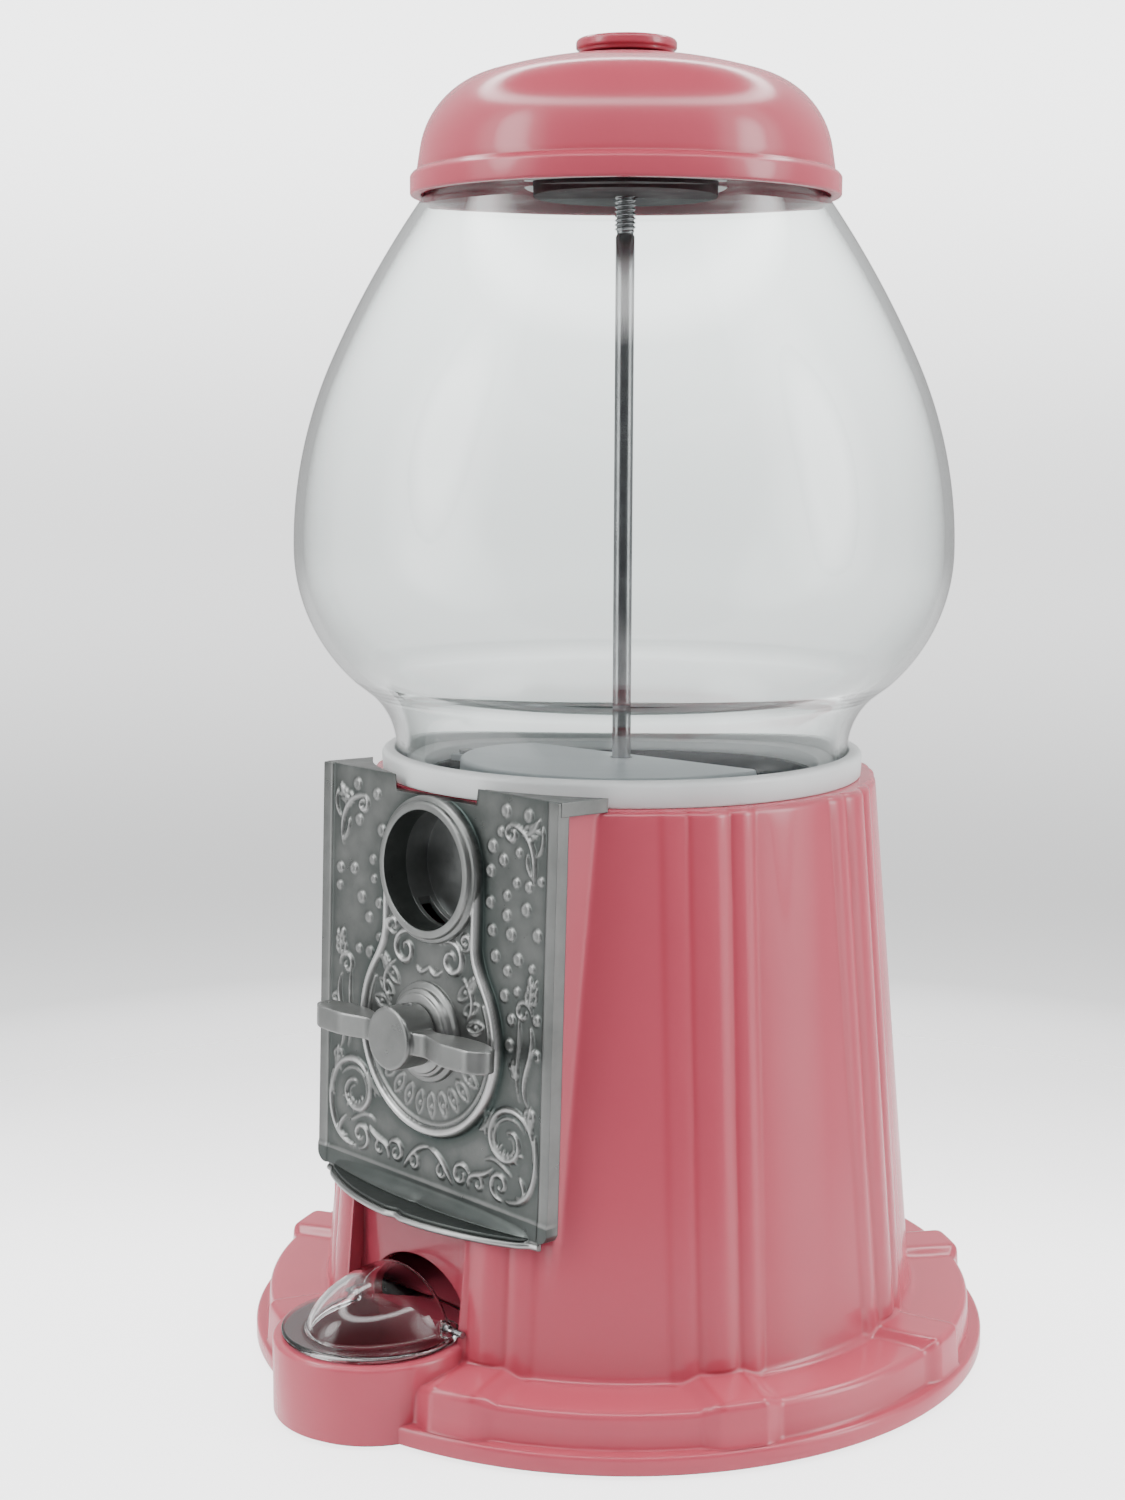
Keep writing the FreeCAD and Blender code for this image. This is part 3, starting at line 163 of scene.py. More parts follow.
def block(name, low, high):
    outline = [(low[0], low[2]), (high[0], low[2]), (high[0], high[2]), (low[0], high[2])]
    return prism(name, outline, low[1], high[1])


def rod(name, radius, low, high, centre=(0.0, 0.0), segments=128):
    return lathe(name, [(0, low), (radius, low), (radius, high), (0, high)], segments,
                 False, centre)


def ellipsoid(name, centre, radii, segments=96):
    turn = np.linspace(-math.pi / 2, math.pi / 2, segments // 2 + 1)
    obj = lathe(name, np.stack([np.cos(turn), np.sin(turn)], -1), segments, False)
    return moved(obj, Matrix.Translation(Vector(centre) * MM)
                 @ Matrix.Diagonal((*radii, 1.0)))


def moved(obj, matrix):
    obj.data.transform(matrix)
    obj.data.update()
    return obj


def plate_rod(name, radius, low, high, x=0.0, h=0.0, base=Matrix(), segments=96):
    """A rod square to the front plate, x beside and h above the handle axis."""
    made = moved(rod(name, radius, low, high, segments=segments), OUTWARDS)
    return moved(made, base @ Matrix.Translation((x * MM, 0, h * MM)))


def applied(obj):
    bpy.context.view_layer.update()
    graph = bpy.context.evaluated_depsgraph_get()
    mesh = bpy.data.meshes.new_from_object(obj.evaluated_get(graph))
    old = obj.data
    obj.modifiers.clear()
    obj.data = mesh
    bpy.data.meshes.remove(old)
    return obj


def combined(obj, tools, mode):
    """obj with each tool united, cut or intersected, and the tools removed."""
    for tool in tools:
        change = obj.modifiers.new("combine", "BOOLEAN")
        change.operation, change.object, change.solver = mode, tool, "MANIFOLD"
        applied(obj)
        mesh = tool.data
        bpy.data.objects.remove(tool)
        bpy.data.meshes.remove(mesh)
    return obj


def cast(obj, voxel, rounds=4, factor=0.5):
    """Melts sharp corners the way a casting or moulding has them."""
    change = obj.modifiers.new("voxels", "REMESH")
    change.mode, change.voxel_size = "VOXEL", voxel * MM
    soften = obj.modifiers.new("soften", "SMOOTH")
    soften.factor, soften.iterations = factor, rounds
    return applied(obj)


def shaded(obj, degrees=32.0):
    obj.data.shade_smooth()
    obj.data.set_sharp_from_angle(angle=math.radians(degrees))
    return obj


def smooth_max(a, b, k):
    h = np.clip(0.5 + 0.5 * (a - b) / k, 0, 1)
    return b + (a - b) * h + k * h * (1 - h)


def smooth_min(a, b, k):
    return -smooth_max(-a, -b, k)


def smooth_step(a, b, x):
    t = np.clip((x - a) / (b - a), 0, 1)
    return t * t * (3 - 2 * t)


# ------------------------------------------------------------------ materials
def nodes_of(name):
    material = bpy.data.materials.new(name)
    material.use_nodes = True
    tree = material.node_tree
    return material, tree, tree.nodes["Principled BSDF"]


def feed(tree, target, values=(), links=()):
    """Sets constants on a node's sockets and links sources into others."""
    for socket, value in dict(values).items():
        target.inputs[socket].default_value = value
    for socket, source in dict(links).items():
        tree.links.new(source, target.inputs[socket])
    return target


def node(tree, kind, values=(), links=(), **settings):
    made = tree.nodes.new("ShaderNode" + kind)
    for key, value in settings.items():
        setattr(made, key, value)
    return feed(tree, made, values, links)


def math_of(tree, operation, first, second):
    """A Math node's result on two inputs, the second of which may be a plain number."""
    made = node(tree, "Math", links={0: first}, operation=operation)
    if isinstance(second, float):
        made.inputs[1].default_value = second
    else:
        tree.links.new(second, made.inputs[1])
    return made.outputs[0]


def noise(tree, scale, detail=3.0, rough=0.55, stretch=(1, 1, 1), warp=0.0):
    coords = node(tree, "TexCoord")
    mapping = node(tree, "Mapping", {"Scale": stretch}, {"Vector": coords.outputs["Object"]})
    made = node(tree, "TexNoise", {"Scale": scale, "Detail": detail, "Roughness": rough,
                                   "Distortion": warp}, {"Vector": mapping.outputs[0]})
    return made.outputs["Fac"]


def ranged(tree, source, low, high, low_in=0.3, high_in=0.7):
    made = node(tree, "MapRange", {"From Min": low_in, "From Max": high_in,
                                   "To Min": low, "To Max": high}, {"Value": source})
    return made.outputs[0]


def mixed(tree, factor, dark, light):
    made = node(tree, "Mix", data_type="RGBA")
    tree.links.new(factor, made.inputs["Factor"])
    for socket, value in ((made.inputs[6], dark), (made.inputs[7], light)):
        if isinstance(value, tuple):
            socket.default_value = (*value, 1.0)
        else:
            tree.links.new(value, socket)
    return made.outputs[2]


def bumped(tree, shader, layers, edge=0.0):
    """Stacks (strength, distance, height) bumps on the surface, over edges softened by edge."""
    under = {}
    if edge:
        under = {"Normal": node(tree, "Bevel", {"Radius": edge * MM}, samples=6).outputs[0]}
    for strength, distance, height in layers:
        lift = node(tree, "Bump", {"Strength": strength, "Distance": distance},
                    {"Height": height, **under})
        under = {"Normal": lift.outputs[0]}
    feed(tree, shader, links=under)


def finish_of(name, dark, light, rough=(0.3, 0.4), metal=0.0, patch=30.0, grain=900.0,
              bump=0.05, depth=0.0002, edge=0.0, coat=0.0, coat_rough=0.1, stretch=(1, 1, 1),
              specular=0.5):
    """A varied opaque finish: colour patches, uneven gloss, fine grain and soft edges."""
    material, tree, shader = nodes_of(name)
    patches = noise(tree, patch, 4.0)
    fine = noise(tree, grain, 2.0, stretch=stretch)
    gloss = noise(tree, patch * 3.1, 5.0)
    feed(tree, shader,
         {"Metallic": metal, "Coat Weight": coat, "Coat Roughness": coat_rough,
          "Specular IOR Level": specular},
         {"Base Color": mixed(tree, ranged(tree, patches, 0, 1), dark, light),
          "Roughness": ranged(tree, gloss, rough[0], rough[1])})
    bumped(tree, shader, [(bump, depth, fine)], edge)
    return material


def enamel():
    """Glossy pink powder enamel: a faint orange peel, and painted shade that deepens the colour in
    creases.
    """
    material, tree, shader = nodes_of("pink_enamel")
    base = mixed(tree, ranged(tree, noise(tree, 14.0, 3.0), 0, 1),
                 (0.420, 0.062, 0.092), (0.450, 0.070, 0.101))
    # painted shade: the crease mask darkens the enamel in creases and in corners under beads
    crease_shade = node(tree, "Attribute", attribute_name="crease_shade")
    crease_shaded = mixed(tree, crease_shade.outputs["Fac"], base, (0.370, 0.040, 0.064))
    specks = node(tree, "TexVoronoi", {"Scale": 160.0, "Randomness": 1.0},
                  {"Vector": node(tree, "TexCoord").outputs["Object"]})
    dust = ranged(tree, specks.outputs["Distance"], 0.35, 0.0, 0.0, 0.06)
    feed(tree, shader,
         {"Coat Weight": 0.35, "Specular IOR Level": 0.3, "Coat Roughness": 0.06},
         {"Base Color": mixed(tree, dust, crease_shaded, (0.46, 0.05, 0.07)),
          "Roughness": ranged(tree, noise(tree, 45.0, 5.0), 0.20, 0.27)})
    bumped(tree, shader, [(0.05, 0.0004, noise(tree, 420.0, 2.0)),
                          (0.08, 0.0010, noise(tree, 60.0, 2.0))], 0.9)
    return material


def pewter():
    """Antiqued pewter: dark green-grey in the recesses and rubbed bright on what stands up."""
    material, tree, shader = nodes_of("antique_pewter")
    rub = node(tree, "Attribute", attribute_name="rub")
    clouds = ranged(tree, noise(tree, 70.0, 5.0), -0.06, 0.06)
    height = math_of(tree, "ADD", rub.outputs["Fac"], clouds)
    ramp = node(tree, "ValToRGB", links={"Fac": height})
    stops = ramp.color_ramp.elements
    stops[0].position, stops[0].color = 0.10, (0.040, 0.052, 0.049, 1)
    stops[1].position, stops[1].color = 0.95, (0.50, 0.505, 0.50, 1)
    for position, colour in ((0.38, (0.085, 0.093, 0.089, 1)), (0.50, (0.155, 0.161, 0.156, 1)),
                             (0.72, (0.25, 0.255, 0.25, 1))):
        stops.new(position).color = colour
    tree.links.new(ramp.outputs[0], shader.inputs["Base Color"])
    shader.inputs["Metallic"].default_value = 0.92
    tree.links.new(ranged(tree, noise(tree, 160.0, 4.0), 0.27, 0.42),
                   shader.inputs["Roughness"])
    bumped(tree, shader, [(0.16, 0.0002, noise(tree, 900.0, 3.0)),
                          (0.14, 0.0005, noise(tree, 130.0, 3.0))], 0.35)
    return material


def clear(name, tint, ior, wave_scale, wave, rough=0.0):
    """Clear glass or acrylic with a slightly uneven surface."""
    material, tree, shader = nodes_of(name)
    faint = noise(tree, 9.0, 2.0)
    colour = mixed(tree, ranged(tree, faint, 0, 1), tint, tuple(min(1.0, c + 0.012) for c in tint))
    feed(tree, shader, {"Transmission Weight": 1.0, "IOR": ior, "Roughness": rough},
         {"Base Color": colour})
    drawn = noise(tree, wave_scale, 2.0, stretch=(1, 1, 0.5))
    bumped(tree, shader, [(wave, 0.001, drawn)])
    return material


def milky():
    material, tree, shader = nodes_of("milky_seal")
    colour = mixed(tree, ranged(tree, noise(tree, 40.0, 3.0), 0, 1),
                   (0.88, 0.92, 0.915), (0.95, 0.97, 0.965))
    feed(tree, shader, {"Transmission Weight": 0.25, "IOR": 1.42},
         {"Base Color": colour,
          "Roughness": ranged(tree, noise(tree, 120.0, 4.0), 0.28, 0.42)})
    bumped(tree, shader, [(0.15, 0.0003, noise(tree, 380.0, 3.0))])
    return material


MATERIALS = {
    "pink_paint": enamel(),
    "pewter": pewter(),
    "clear_glass": clear("clear_glass", (0.955, 0.985, 0.978), 1.46, 14.0, 0.10),
    "clear_plastic": clear("clear_acrylic", (0.965, 0.955, 0.960), 1.47, 60.0, 0.16),
    "frosted_seal": milky(),
    "grey_plastic": finish_of("grey_moulding", (0.74, 0.79, 0.82), (0.80, 0.85, 0.88),
                              (0.32, 0.42), grain=1500.0, bump=0.12, edge=0.6),
    "dark_plastic": finish_of("dark_moulding", (0.050, 0.057, 0.061), (0.078, 0.086, 0.090),
                              (0.30, 0.42), grain=1500.0, bump=0.12, edge=0.6),
    "white_plastic": finish_of("white_moulding", (0.80, 0.80, 0.79), (0.88, 0.88, 0.87),
                               (0.28, 0.36), bump=0.05, edge=0.4),
    "steel": finish_of("zinc_steel", (0.26, 0.26, 0.265), (0.40, 0.40, 0.41), (0.12, 0.26),
                       metal=1.0, patch=60.0, grain=700.0, bump=0.06, edge=0.3,
                       stretch=(1, 1, 0.04)),
    "brass": finish_of("turned_brass", (0.50, 0.33, 0.12), (0.66, 0.47, 0.20), (0.2, 0.32),
                       metal=1.0, bump=0.08, edge=0.3),
    "rubber": finish_of("black_rubber", (0.012, 0.012, 0.013), (0.03, 0.03, 0.032),
                        (0.55, 0.75), grain=2200.0, bump=0.3, edge=0.3, specular=0.3),
    "sheet_steel": finish_of("zinc_sheet", (0.40, 0.41, 0.42), (0.56, 0.57, 0.58),
                             (0.25, 0.42), metal=1.0, patch=90.0, grain=900.0, bump=0.1,
                             edge=0.4),
}
PLAIN_PEWTER = finish_of("plain_pewter", (0.15, 0.158, 0.155), (0.23, 0.238, 0.235), (0.28, 0.40),
                         metal=0.92, patch=70.0, bump=0.1, edge=0.3)
SLOT_OF = {part["node"]: part["material_slot"] for part in frame["record"]["subparts"]}
BODY_OF = {name: body for body, names in frame["record"]["behaviour"]["bodies"].items()
           for name in names}


def piece(obj, stands_for, sharp=32.0):
    """Finishes a new piece: smooth shading, material, slot, body and the node it replaces."""
    if sharp:
        shaded(obj, sharp)
    obj.data.materials.clear()
    obj.data.materials.append(MATERIALS[SLOT_OF[stands_for]])
    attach(obj, BODY_OF[stands_for])
    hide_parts(stands_for)
    return obj


def point_value(obj, name, values):
    layer = obj.data.attributes.new(name, "FLOAT", "POINT")
    layer.data.foreach_set("value", np.asarray(values, np.float32))


def points_of(obj):
    co = np.zeros(len(obj.data.vertices) * 3, np.float32)
    obj.data.vertices.foreach_get("co", co)
    return co.reshape(-1, 3).astype(float) / MM


# ------------------------------------------------------------------ casting
BEAD_FIRST, BEAD_PITCH = 21.5, 42.3
BEAD_TURNS = [side * (BEAD_FIRST + BEAD_PITCH * k) for k in range(4) for side in (-1, 1)]
TIER_TOP, DECK_TOP = 16.6, 171.0
FOOT_R, TOP_R, DECK_INNER = 88.6, 74.9, 66.4
BOX_HALF = 49.0
PLATE_LEDGE = 55.2
SEAT = HANDLE[1] + 3.5


def bead_gaps(turn):
    """How far turn is from the middle line of each bead in radians, bead by bead."""
    for degrees in BEAD_TURNS:
        yield (turn - math.radians(degrees) + math.pi) % (2 * math.pi) - math.pi


def reed_height(s):
    """One central bead between two lower shoulders, across the reed."""
    s = np.abs(s)
    bead = 1.9 * (1 - (s / 6.5) ** 2)
    shoulder = 0.95 * (1 - ((s - 9.4) / 4.3) ** 2)
    return smooth_max(smooth_max(bead, shoulder, 0.22), 0 * s, 0.3)


def casting_path():
    """The closed (r, z) outline of the wall, up the outside and back down the inside."""
    outline = [
        (102.7, 1.2), (110.1, 1.2, 0.5), (110.1, 6.5, 1.4), (106.6, 6.5, 0.9),
        (105.7, TIER_TOP, 2.3), (FOOT_R, TIER_TOP, 2.6), (TOP_R, DECK_TOP, 2.2),
        (DECK_INNER, DECK_TOP, 0.4), (DECK_INNER, 168.9), (58.8, 168.9), (58.8, 167.5),
        (71.6, 167.5), (85.5, 13.6), (102.7, 13.6)]
    path = dense(rounded(outline, step=0.45), 4.5)
    ledge = [np.array([FOOT_R - (z - TIER_TOP) * (FOOT_R - TOP_R) / (DECK_TOP - TIER_TOP), z])
             for z in (PLATE_LEDGE - 0.06, PLATE_LEDGE + 0.06)]
    spot = next(i for i, (r, z) in enumerate(path) if r > 80 and z > PLATE_LEDGE)
    path = [p for p in path[:spot] if not (p[0] < 88 and abs(p[1] - PLATE_LEDGE) < 0.6)] + ledge \
        + list(path[spot:])
    return np.array(path)


def casting():
    path = casting_path()
    segments = 960
    turn = np.linspace(-math.pi, math.pi, segments, endpoint=False)
    r = np.repeat(path[:, 0][:, None], segments, 1)
    z = np.repeat(path[:, 1][:, None], segments, 1)
    inside = np.zeros(len(path), bool)
    inside[int(np.argmax(path[:, 1] > DECK_TOP - 0.01)) + 8:] = True
    wall = (~inside & (path[:, 1] > TIER_TOP + 0.05))[:, None]
    reed, pad = 0 * r, 0 * r
    for gap in bead_gaps(turn):
        reed = np.maximum(reed, reed_height(gap * r))
        pad = np.maximum(pad, 1 - smooth_step(5.4, 12.2, np.abs(gap) * np.maximum(r, 90.0)))
    on_deck = smooth_step(DECK_TOP - 0.05, DECK_TOP - 0.6, z)
    reach = np.where(on_deck > 0, 1.0, smooth_step(70.5, 73.0, r))
    r = r + np.where(wall, reed * reach * smooth_step(TIER_TOP, TIER_TOP + 2.4, z), 0.0)
    outer = (~inside & (path[:, 1] > 6.6))[:, None]
    rise = 2.0 * pad * np.clip(1 - (z - TIER_TOP) / 9.0, 0, 1) * smooth_step(12.5, 16.0, z)
    side = 2.3 * pad * smooth_step(98.0, 105.0, r)
    z, r = z + np.where(outer, rise, 0), r + np.where(outer, side, 0)
    seat = -(SEAT + (z - HANDLE[2]) * math.tan(LEAN))
    sine, cosine = np.abs(np.sin(turn))[None], np.cos(turn)[None]
    facing = cosine > 0.3
    plane = np.where(facing, seat / np.maximum(cosine, 0.3), 400.0)
    flank = (BOX_HALF - np.clip(PLATE_LEDGE - z, 0, 60) * 0.14) / np.maximum(sine, 1e-3)
    box = np.where(facing, smooth_min(plane, flank, 1.2), 0.0)
    grown = smooth_max(r, box, 0.9)
    grown = np.where(facing & (z > PLATE_LEDGE), np.minimum(grown, plane), grown)
    r = np.where(wall & (z > TIER_TOP + 6), grown, r)
    edge = int(np.argmax(path[:, 1] > DECK_TOP - 0.01))
    for row in range(edge + 1, edge + 8):
        share = (path[row, 0] - DECK_INNER) / (path[edge, 0] - DECK_INNER)
        r[row] = path[row, 0] + max(share, 0.0) * (r[edge] - path[edge, 0])
    behind = inside[:, None] & facing & (z > PLATE_LEDGE - 4.0)
    r = np.where(behind, np.minimum(r, plane - 3.0), r)
    verts = np.stack([r * np.sin(turn), -r * np.cos(turn), z], -1).reshape(-1, 3)
    body = build("casting", verts, grid_faces(len(path), segments, True, True))

    tray = lathe("tray", rounded([(0, 1.2), (27.9, 1.2, 0.5), (27.9, 22.9, 1.1), (0, 22.9)],
                                 closed=False), 192, False, TRAY_SPOT)
    back = block("back", (-27.5, -80.0, 1.2), (27.5, -76.0, 54.9))
    lugs = [rod(f"lug{k}", 6.0, 3.2, 14.6, spot, 48) for k, spot in enumerate(LUG_SPOTS)]
    combined(body, [tray, back] + lugs, "UNION")
    cup = combined(rod("cup", 24.5, 5.0, 60.0, TRAY_SPOT, 160),
                   [block("cup_front", (-30, -130, 0), (30, -79.0, 58))], "INTERSECT")
    arch = combined(ellipsoid("arch", (0, -79.0, 25.0), (20.6, 30.0, 15.2)),
                    [block("arch_box", (-23, -81.0, 23.0), (23, -67.0, 60))], "INTERSECT")
    inner_box = moved(block("inner_box", (-46.0, 6.5, -46.0), (46.0, 66.5, 64.5)), LEANED)
    window = moved(block("window", (-44.0, -2.0, -38.0), (44.0, 28.0, 57.0)), LEANED)
    cup_room = plate_rod("cup_room", 18.6, -40.0, 0.0, h=COIN_RISE, base=LEANED)
    doorway = block("doorway", (-24.5, -125.0, 23.0), (24.5, -79.0, 54.0))
    screws = [plate_rod(f"hole{k}", 2.1, -16.0, 4.0, *spot, LEANED, 32)
              for k, spot in enumerate(PLATE_SCREWS)]
    pin = moved(rod("pin", 1.0, -27.0, 27.0, segments=32), HINGE)
    covers = [rod(f"cover{k}", 1.9, 0.0, 8.0, spot, 32) for k, spot in enumerate(LUG_SPOTS)]
    combined(body, [cup, arch, doorway, inner_box, window, cup_room, pin] + screws + covers,
             "DIFFERENCE")
    co = points_of(body)
    angle = np.arctan2(co[:, 0], -co[:, 1])
    radius = np.hypot(co[:, 0], co[:, 1])
    # painted shade: a mask along the grooves beside each bead and at the plinth step, darkening the
    # enamel there
    reed = 0 * angle
    for gap in bead_gaps(angle):
        reed = np.maximum(reed, np.exp(-((np.abs(gap) * radius - 5.9) / 0.9) ** 2)
                          + 0.7 * np.exp(-((np.abs(gap) * radius - 13.4) / 1.0) ** 2))
    crease_shade = reed * 0.6 * ((radius > 70) & (co[:, 2] > TIER_TOP))
    crease_shade = np.maximum(crease_shade, 0.55 * np.exp(-((co[:, 2] - 6.9) / 0.8) ** 2) * (radius > 104))
    point_value(body, "crease_shade", np.clip(crease_shade, 0, 1))
    return piece(body, "body_casting")


# ------------------------------------------------------------------ front plate
class Relief:
    """A height field over the plate's face that ornament is raised on."""

    def __init__(self, low, high, step):
        self.xs = np.arange(low[0], high[0] + step / 2, step)
        self.zs = np.arange(low[1], high[1] + step / 2, step)
        self.x, self.z = np.meshgrid(self.xs, self.zs)
        self.h = np.zeros_like(self.x)
        self.lines = np.zeros_like(self.x)

    def ridge(self, points, width, height, both=True, fade=0.75):
        """A rounded line along points that thins at its ends, and its mirror image."""
        for side in ((1, -1) if both else (1,)):
            pts = np.array(points, float) * (side, 1)
            low, high = pts.min(0) - width, pts.max(0) + width
            i0, i1 = np.searchsorted(self.xs, (low[0], high[0]))
            j0, j1 = np.searchsorted(self.zs, (low[1], high[1]))
            x, z = self.x[j0:j1, i0:i1], self.z[j0:j1, i0:i1]
            if not x.size:
                continue
            best, where = np.full(x.shape, 1e9), np.zeros(x.shape)
            run = np.r_[0, np.cumsum(np.hypot(*np.diff(pts, axis=0).T))]
            for k in range(len(pts) - 1):
                a, d = pts[k], pts[k + 1] - pts[k]
                t = np.clip(((x - a[0]) * d[0] + (z - a[1]) * d[1]) / (d @ d + 1e-9), 0, 1)
                gap = np.hypot(x - a[0] - t * d[0], z - a[1] - t * d[1])
                near = gap < best
                best[near] = gap[near]
                where[near] = ((run[k] + t * np.hypot(*d)) / run[-1])[near]
            thin = 1 - fade * np.abs(2 * where - 1) ** 3
            raised = height * np.sqrt(np.clip(1 - (best / (width * thin)) ** 2, 0, 1)) \
                * (0.55 + 0.45 * thin)
            part = self.lines[j0:j1, i0:i1]
            np.maximum(part, raised, out=part)

    def disc(self, x, z, radius, height):
        gap = np.hypot(self.x - x, self.z - z)
        top = height * (1 - smooth_step(radius - 0.35, radius + 0.1, gap))
        top -= 0.35 * height * (1 - smooth_step(radius - 1.0, radius - 0.5, gap))
        np.maximum(self.lines, top, out=self.lines)

    def sample(self, x, z, field):
        step = self.xs[1] - self.xs[0]
        i = np.clip((x - self.xs[0]) / step, 0, len(self.xs) - 1.001)
        j = np.clip((z - self.zs[0]) / step, 0, len(self.zs) - 1.001)
        i0, j0 = i.astype(int), j.astype(int)
        u, v = i - i0, j - j0
        return ((field[j0, i0] * (1 - u) + field[j0, i0 + 1] * u) * (1 - v)
                + (field[j0 + 1, i0] * (1 - u) + field[j0 + 1, i0 + 1] * u) * v)


def spiral(cx, cz, start, end, first, turns, count=40):
    t = np.linspace(0, 1, count)
    r = start + (end - start) * t
    a = math.radians(first) + 2 * math.pi * turns * t
    return np.stack([cx + r * np.cos(a), cz + r * np.sin(a)], -1)


def bend(p0, p1, p2, p3, count=16):
    t = np.linspace(0, 1, count)[:, None]
    p0, p1, p2, p3 = (np.array(p, float) for p in (p0, p1, p2, p3))
    return (1 - t) ** 3 * p0 + 3 * t * (1 - t) ** 2 * p1 + 3 * t * t * (1 - t) * p2 + t ** 3 * p3


def blurred(field, cells):
    fz = np.fft.fftfreq(field.shape[0])[:, None]
    fx = np.fft.rfftfreq(field.shape[1])[None]
    gain = np.exp(-2 * (math.pi * cells) ** 2 * (fx ** 2 + fz ** 2))
    return np.fft.irfft2(np.fft.rfft2(field) * gain, field.shape)


def leaf(relief, x, z, degrees, length, curl, lobes=4):
    """An acanthus leaf: a bent spine with short curved lobes on both sides."""
    turn = math.radians(degrees)
    along = np.array([math.cos(turn), math.sin(turn)])
    across = np.array([-along[1], along[0]])
    base = np.array([x, z], float)
    tip = base + along * length + across * curl * length
    spine = bend(base, base + along * length * 0.4, base + along * length * 0.8, tip)
    relief.ridge(spine, 0.75, 0.75)
    for k in range(lobes):
        root = spine[2 + int(k * 12 / lobes)]
        reach = length * (0.42 - 0.07 * k)
        for side in (-1, 1):
            out = across * side * reach * 0.62
            lobe = bend(root, root + out * 0.8, root + out + along * reach * 0.3,
                        root + out * 0.9 + along * reach * 0.85, 8)
            relief.ridge(lobe, 0.62, 0.6, fade=0.6)


def ornament():
    relief = Relief((-PLATE_HALF, PLATE_LOW), (PLATE_HALF, PLATE_HIGH), 0.37)
    x, z = relief.x, relief.z

    def curl(width, height, *shape):
        relief.ridge(spiral(*shape), width, height)

    def stem(width, height, *points, count=16):
        relief.ridge(bend(*points, count), width, height)

    # medallion outline: a disc under a neck that carries the coin hole
    disc = np.hypot(x, z) - 30.0
    neck = np.maximum(np.abs(x) - 20.5, np.maximum(-z, z - COIN_RISE))
    crown = np.hypot(x, z - COIN_RISE) - 20.5
    outline = smooth_min(smooth_min(disc, neck, 5.0), crown, 0.5)
    relief.h += 1.3 * (1 - smooth_step(-0.5, 0.25, outline))
    relief.lines += 1.15 * np.sqrt(np.clip(1 - ((outline + 1.5) / 1.25) ** 2, 0, 1))
    relief.lines += 0.55 * np.sqrt(np.clip(1 - ((outline + 3.9) / 0.6) ** 2, 0, 1)) * (z < 12)
    # plain border strips down the sides and a line above the visor
    relief.h += 0.5 * smooth_step(45.9, 46.4, np.abs(x))
    relief.h += 0.35 * smooth_step(-43.2, -43.7, z)
    # lower corners: C scroll, counter scroll, shell and leaves
    curl(0.95, 1.0, 33.5, -24.0, 10.6, 2.2, -20, 1.35, 60)
    curl(0.55, 0.6, 33.2, -24.4, 7.6, 1.4, 30, 1.1, 40)
    stem(0.9, 0.95, (44.0, -20.0), (46.5, -32.0), (43.0, -41.0), (33.0, -41.0))
    curl(0.75, 0.85, 30.5, -37.0, 4.2, 0.9, -80, -1.2, 40)
    stem(0.85, 0.9, (27.0, -33.5), (22.0, -38.0), (17.0, -35.0), (17.5, -41.0))
    curl(0.7, 0.85, 14.2, -38.2, 3.6, 0.8, 10, 1.2, 36)
    curl(0.6, 0.75, 21.5, -38.8, 2.6, 0.7, 180, -1.1, 30)
    stem(0.85, 0.9, (10.5, -41.5), (6.5, -36.0), (4.0, -34.0), (0.0, -33.6))
    curl(0.6, 0.75, 6.2, -39.2, 2.5, 0.7, 60, 1.1, 30)
    stem(0.6, 0.65, (24.0, -31.5), (28.0, -29.0), (30.5, -31.0), (35.0, -33.5))
    stem(0.7, 0.8, (38.0, -33.0), (41.5, -36.0), (41.0, -39.5), (37.0, -38.8))
    for k in range(5):
        turn = math.radians(205 + 28 * k)
        start = (33.5 + 3.0 * math.cos(turn), -24.4 + 3.0 * math.sin(turn))
        stop = (33.5 + 6.4 * math.cos(turn + 0.3), -24.4 + 6.4 * math.sin(turn + 0.3))
        relief.ridge([start, stop], 0.55, 0.6, fade=0.5)
    leaf(relief, 27.0, -16.5, 250, 8.5, -0.35)
    leaf(relief, 42.0, -12.5, 262, 7.5, 0.3, 3)
    # side stems that climb past the handle
    stem(0.75, 0.85, (41.0, -13.0), (35.5, -6.0), (44.5, 1.0), (41.0, 9.0), count=24)
    stem(0.6, 0.7, (37.4, -12.0), (34.4, -4.0), (38.0, 2.0), (36.2, 12.0), count=24)
    curl(0.65, 0.8, 38.2, 12.5, 3.4, 0.8, -10, 1.15, 36)
    curl(0.5, 0.65, 43.6, 1.4, 1.7, 0.6, 200, -1.0, 24)
    leaf(relief, 40.5, 14.0, 78, 8.5, 0.22, 3)
    leaf(relief, 36.5, -6.0, 128, 5.0, -0.3, 2)
    # upper corners
    stem(0.8, 0.9, (31.0, 62.5), (38.0, 63.0), (42.5, 57.0), (41.0, 47.5), count=24)
    curl(0.65, 0.8, 32.0, 60.2, 2.5, 0.7, 80, 1.2, 30)
    leaf(relief, 36.0, 60.0, 20, 8.0, 0.35, 3)
    stem(0.6, 0.7, (41.5, 55.0), (45.0, 57.0), (44.6, 61.0), (43.8, 63.5))
    stem(0.6, 0.7, (41.2, 48.5), (38.6, 51.0), (37.8, 53.0), (38.4, 55.5))
    # scrolls under and beside the coin hole
    curl(0.85, 1.0, 10.0, 22.0, 5.4, 1.0, 130, -1.35, 50)
    curl(0.65, 0.85, 15.6, 28.0, 2.6, 0.7, 240, 1.25, 32)
    stem(0.75, 0.85, (14.5, 17.8), (19.5, 15.0), (20.5, 10.0), (16.6, 5.6))
    stem(0.7, 0.8, (5.0, 25.6), (3.4, 28.0), (1.6, 27.4), (0.0, 25.4))
    stem(0.6, 0.7, (5.6, 18.0), (3.6, 15.8), (1.8, 16.4), (0.0, 18.4))
    leaf(relief, 17.0, 14.0, 60, 6.0, -0.25, 3)
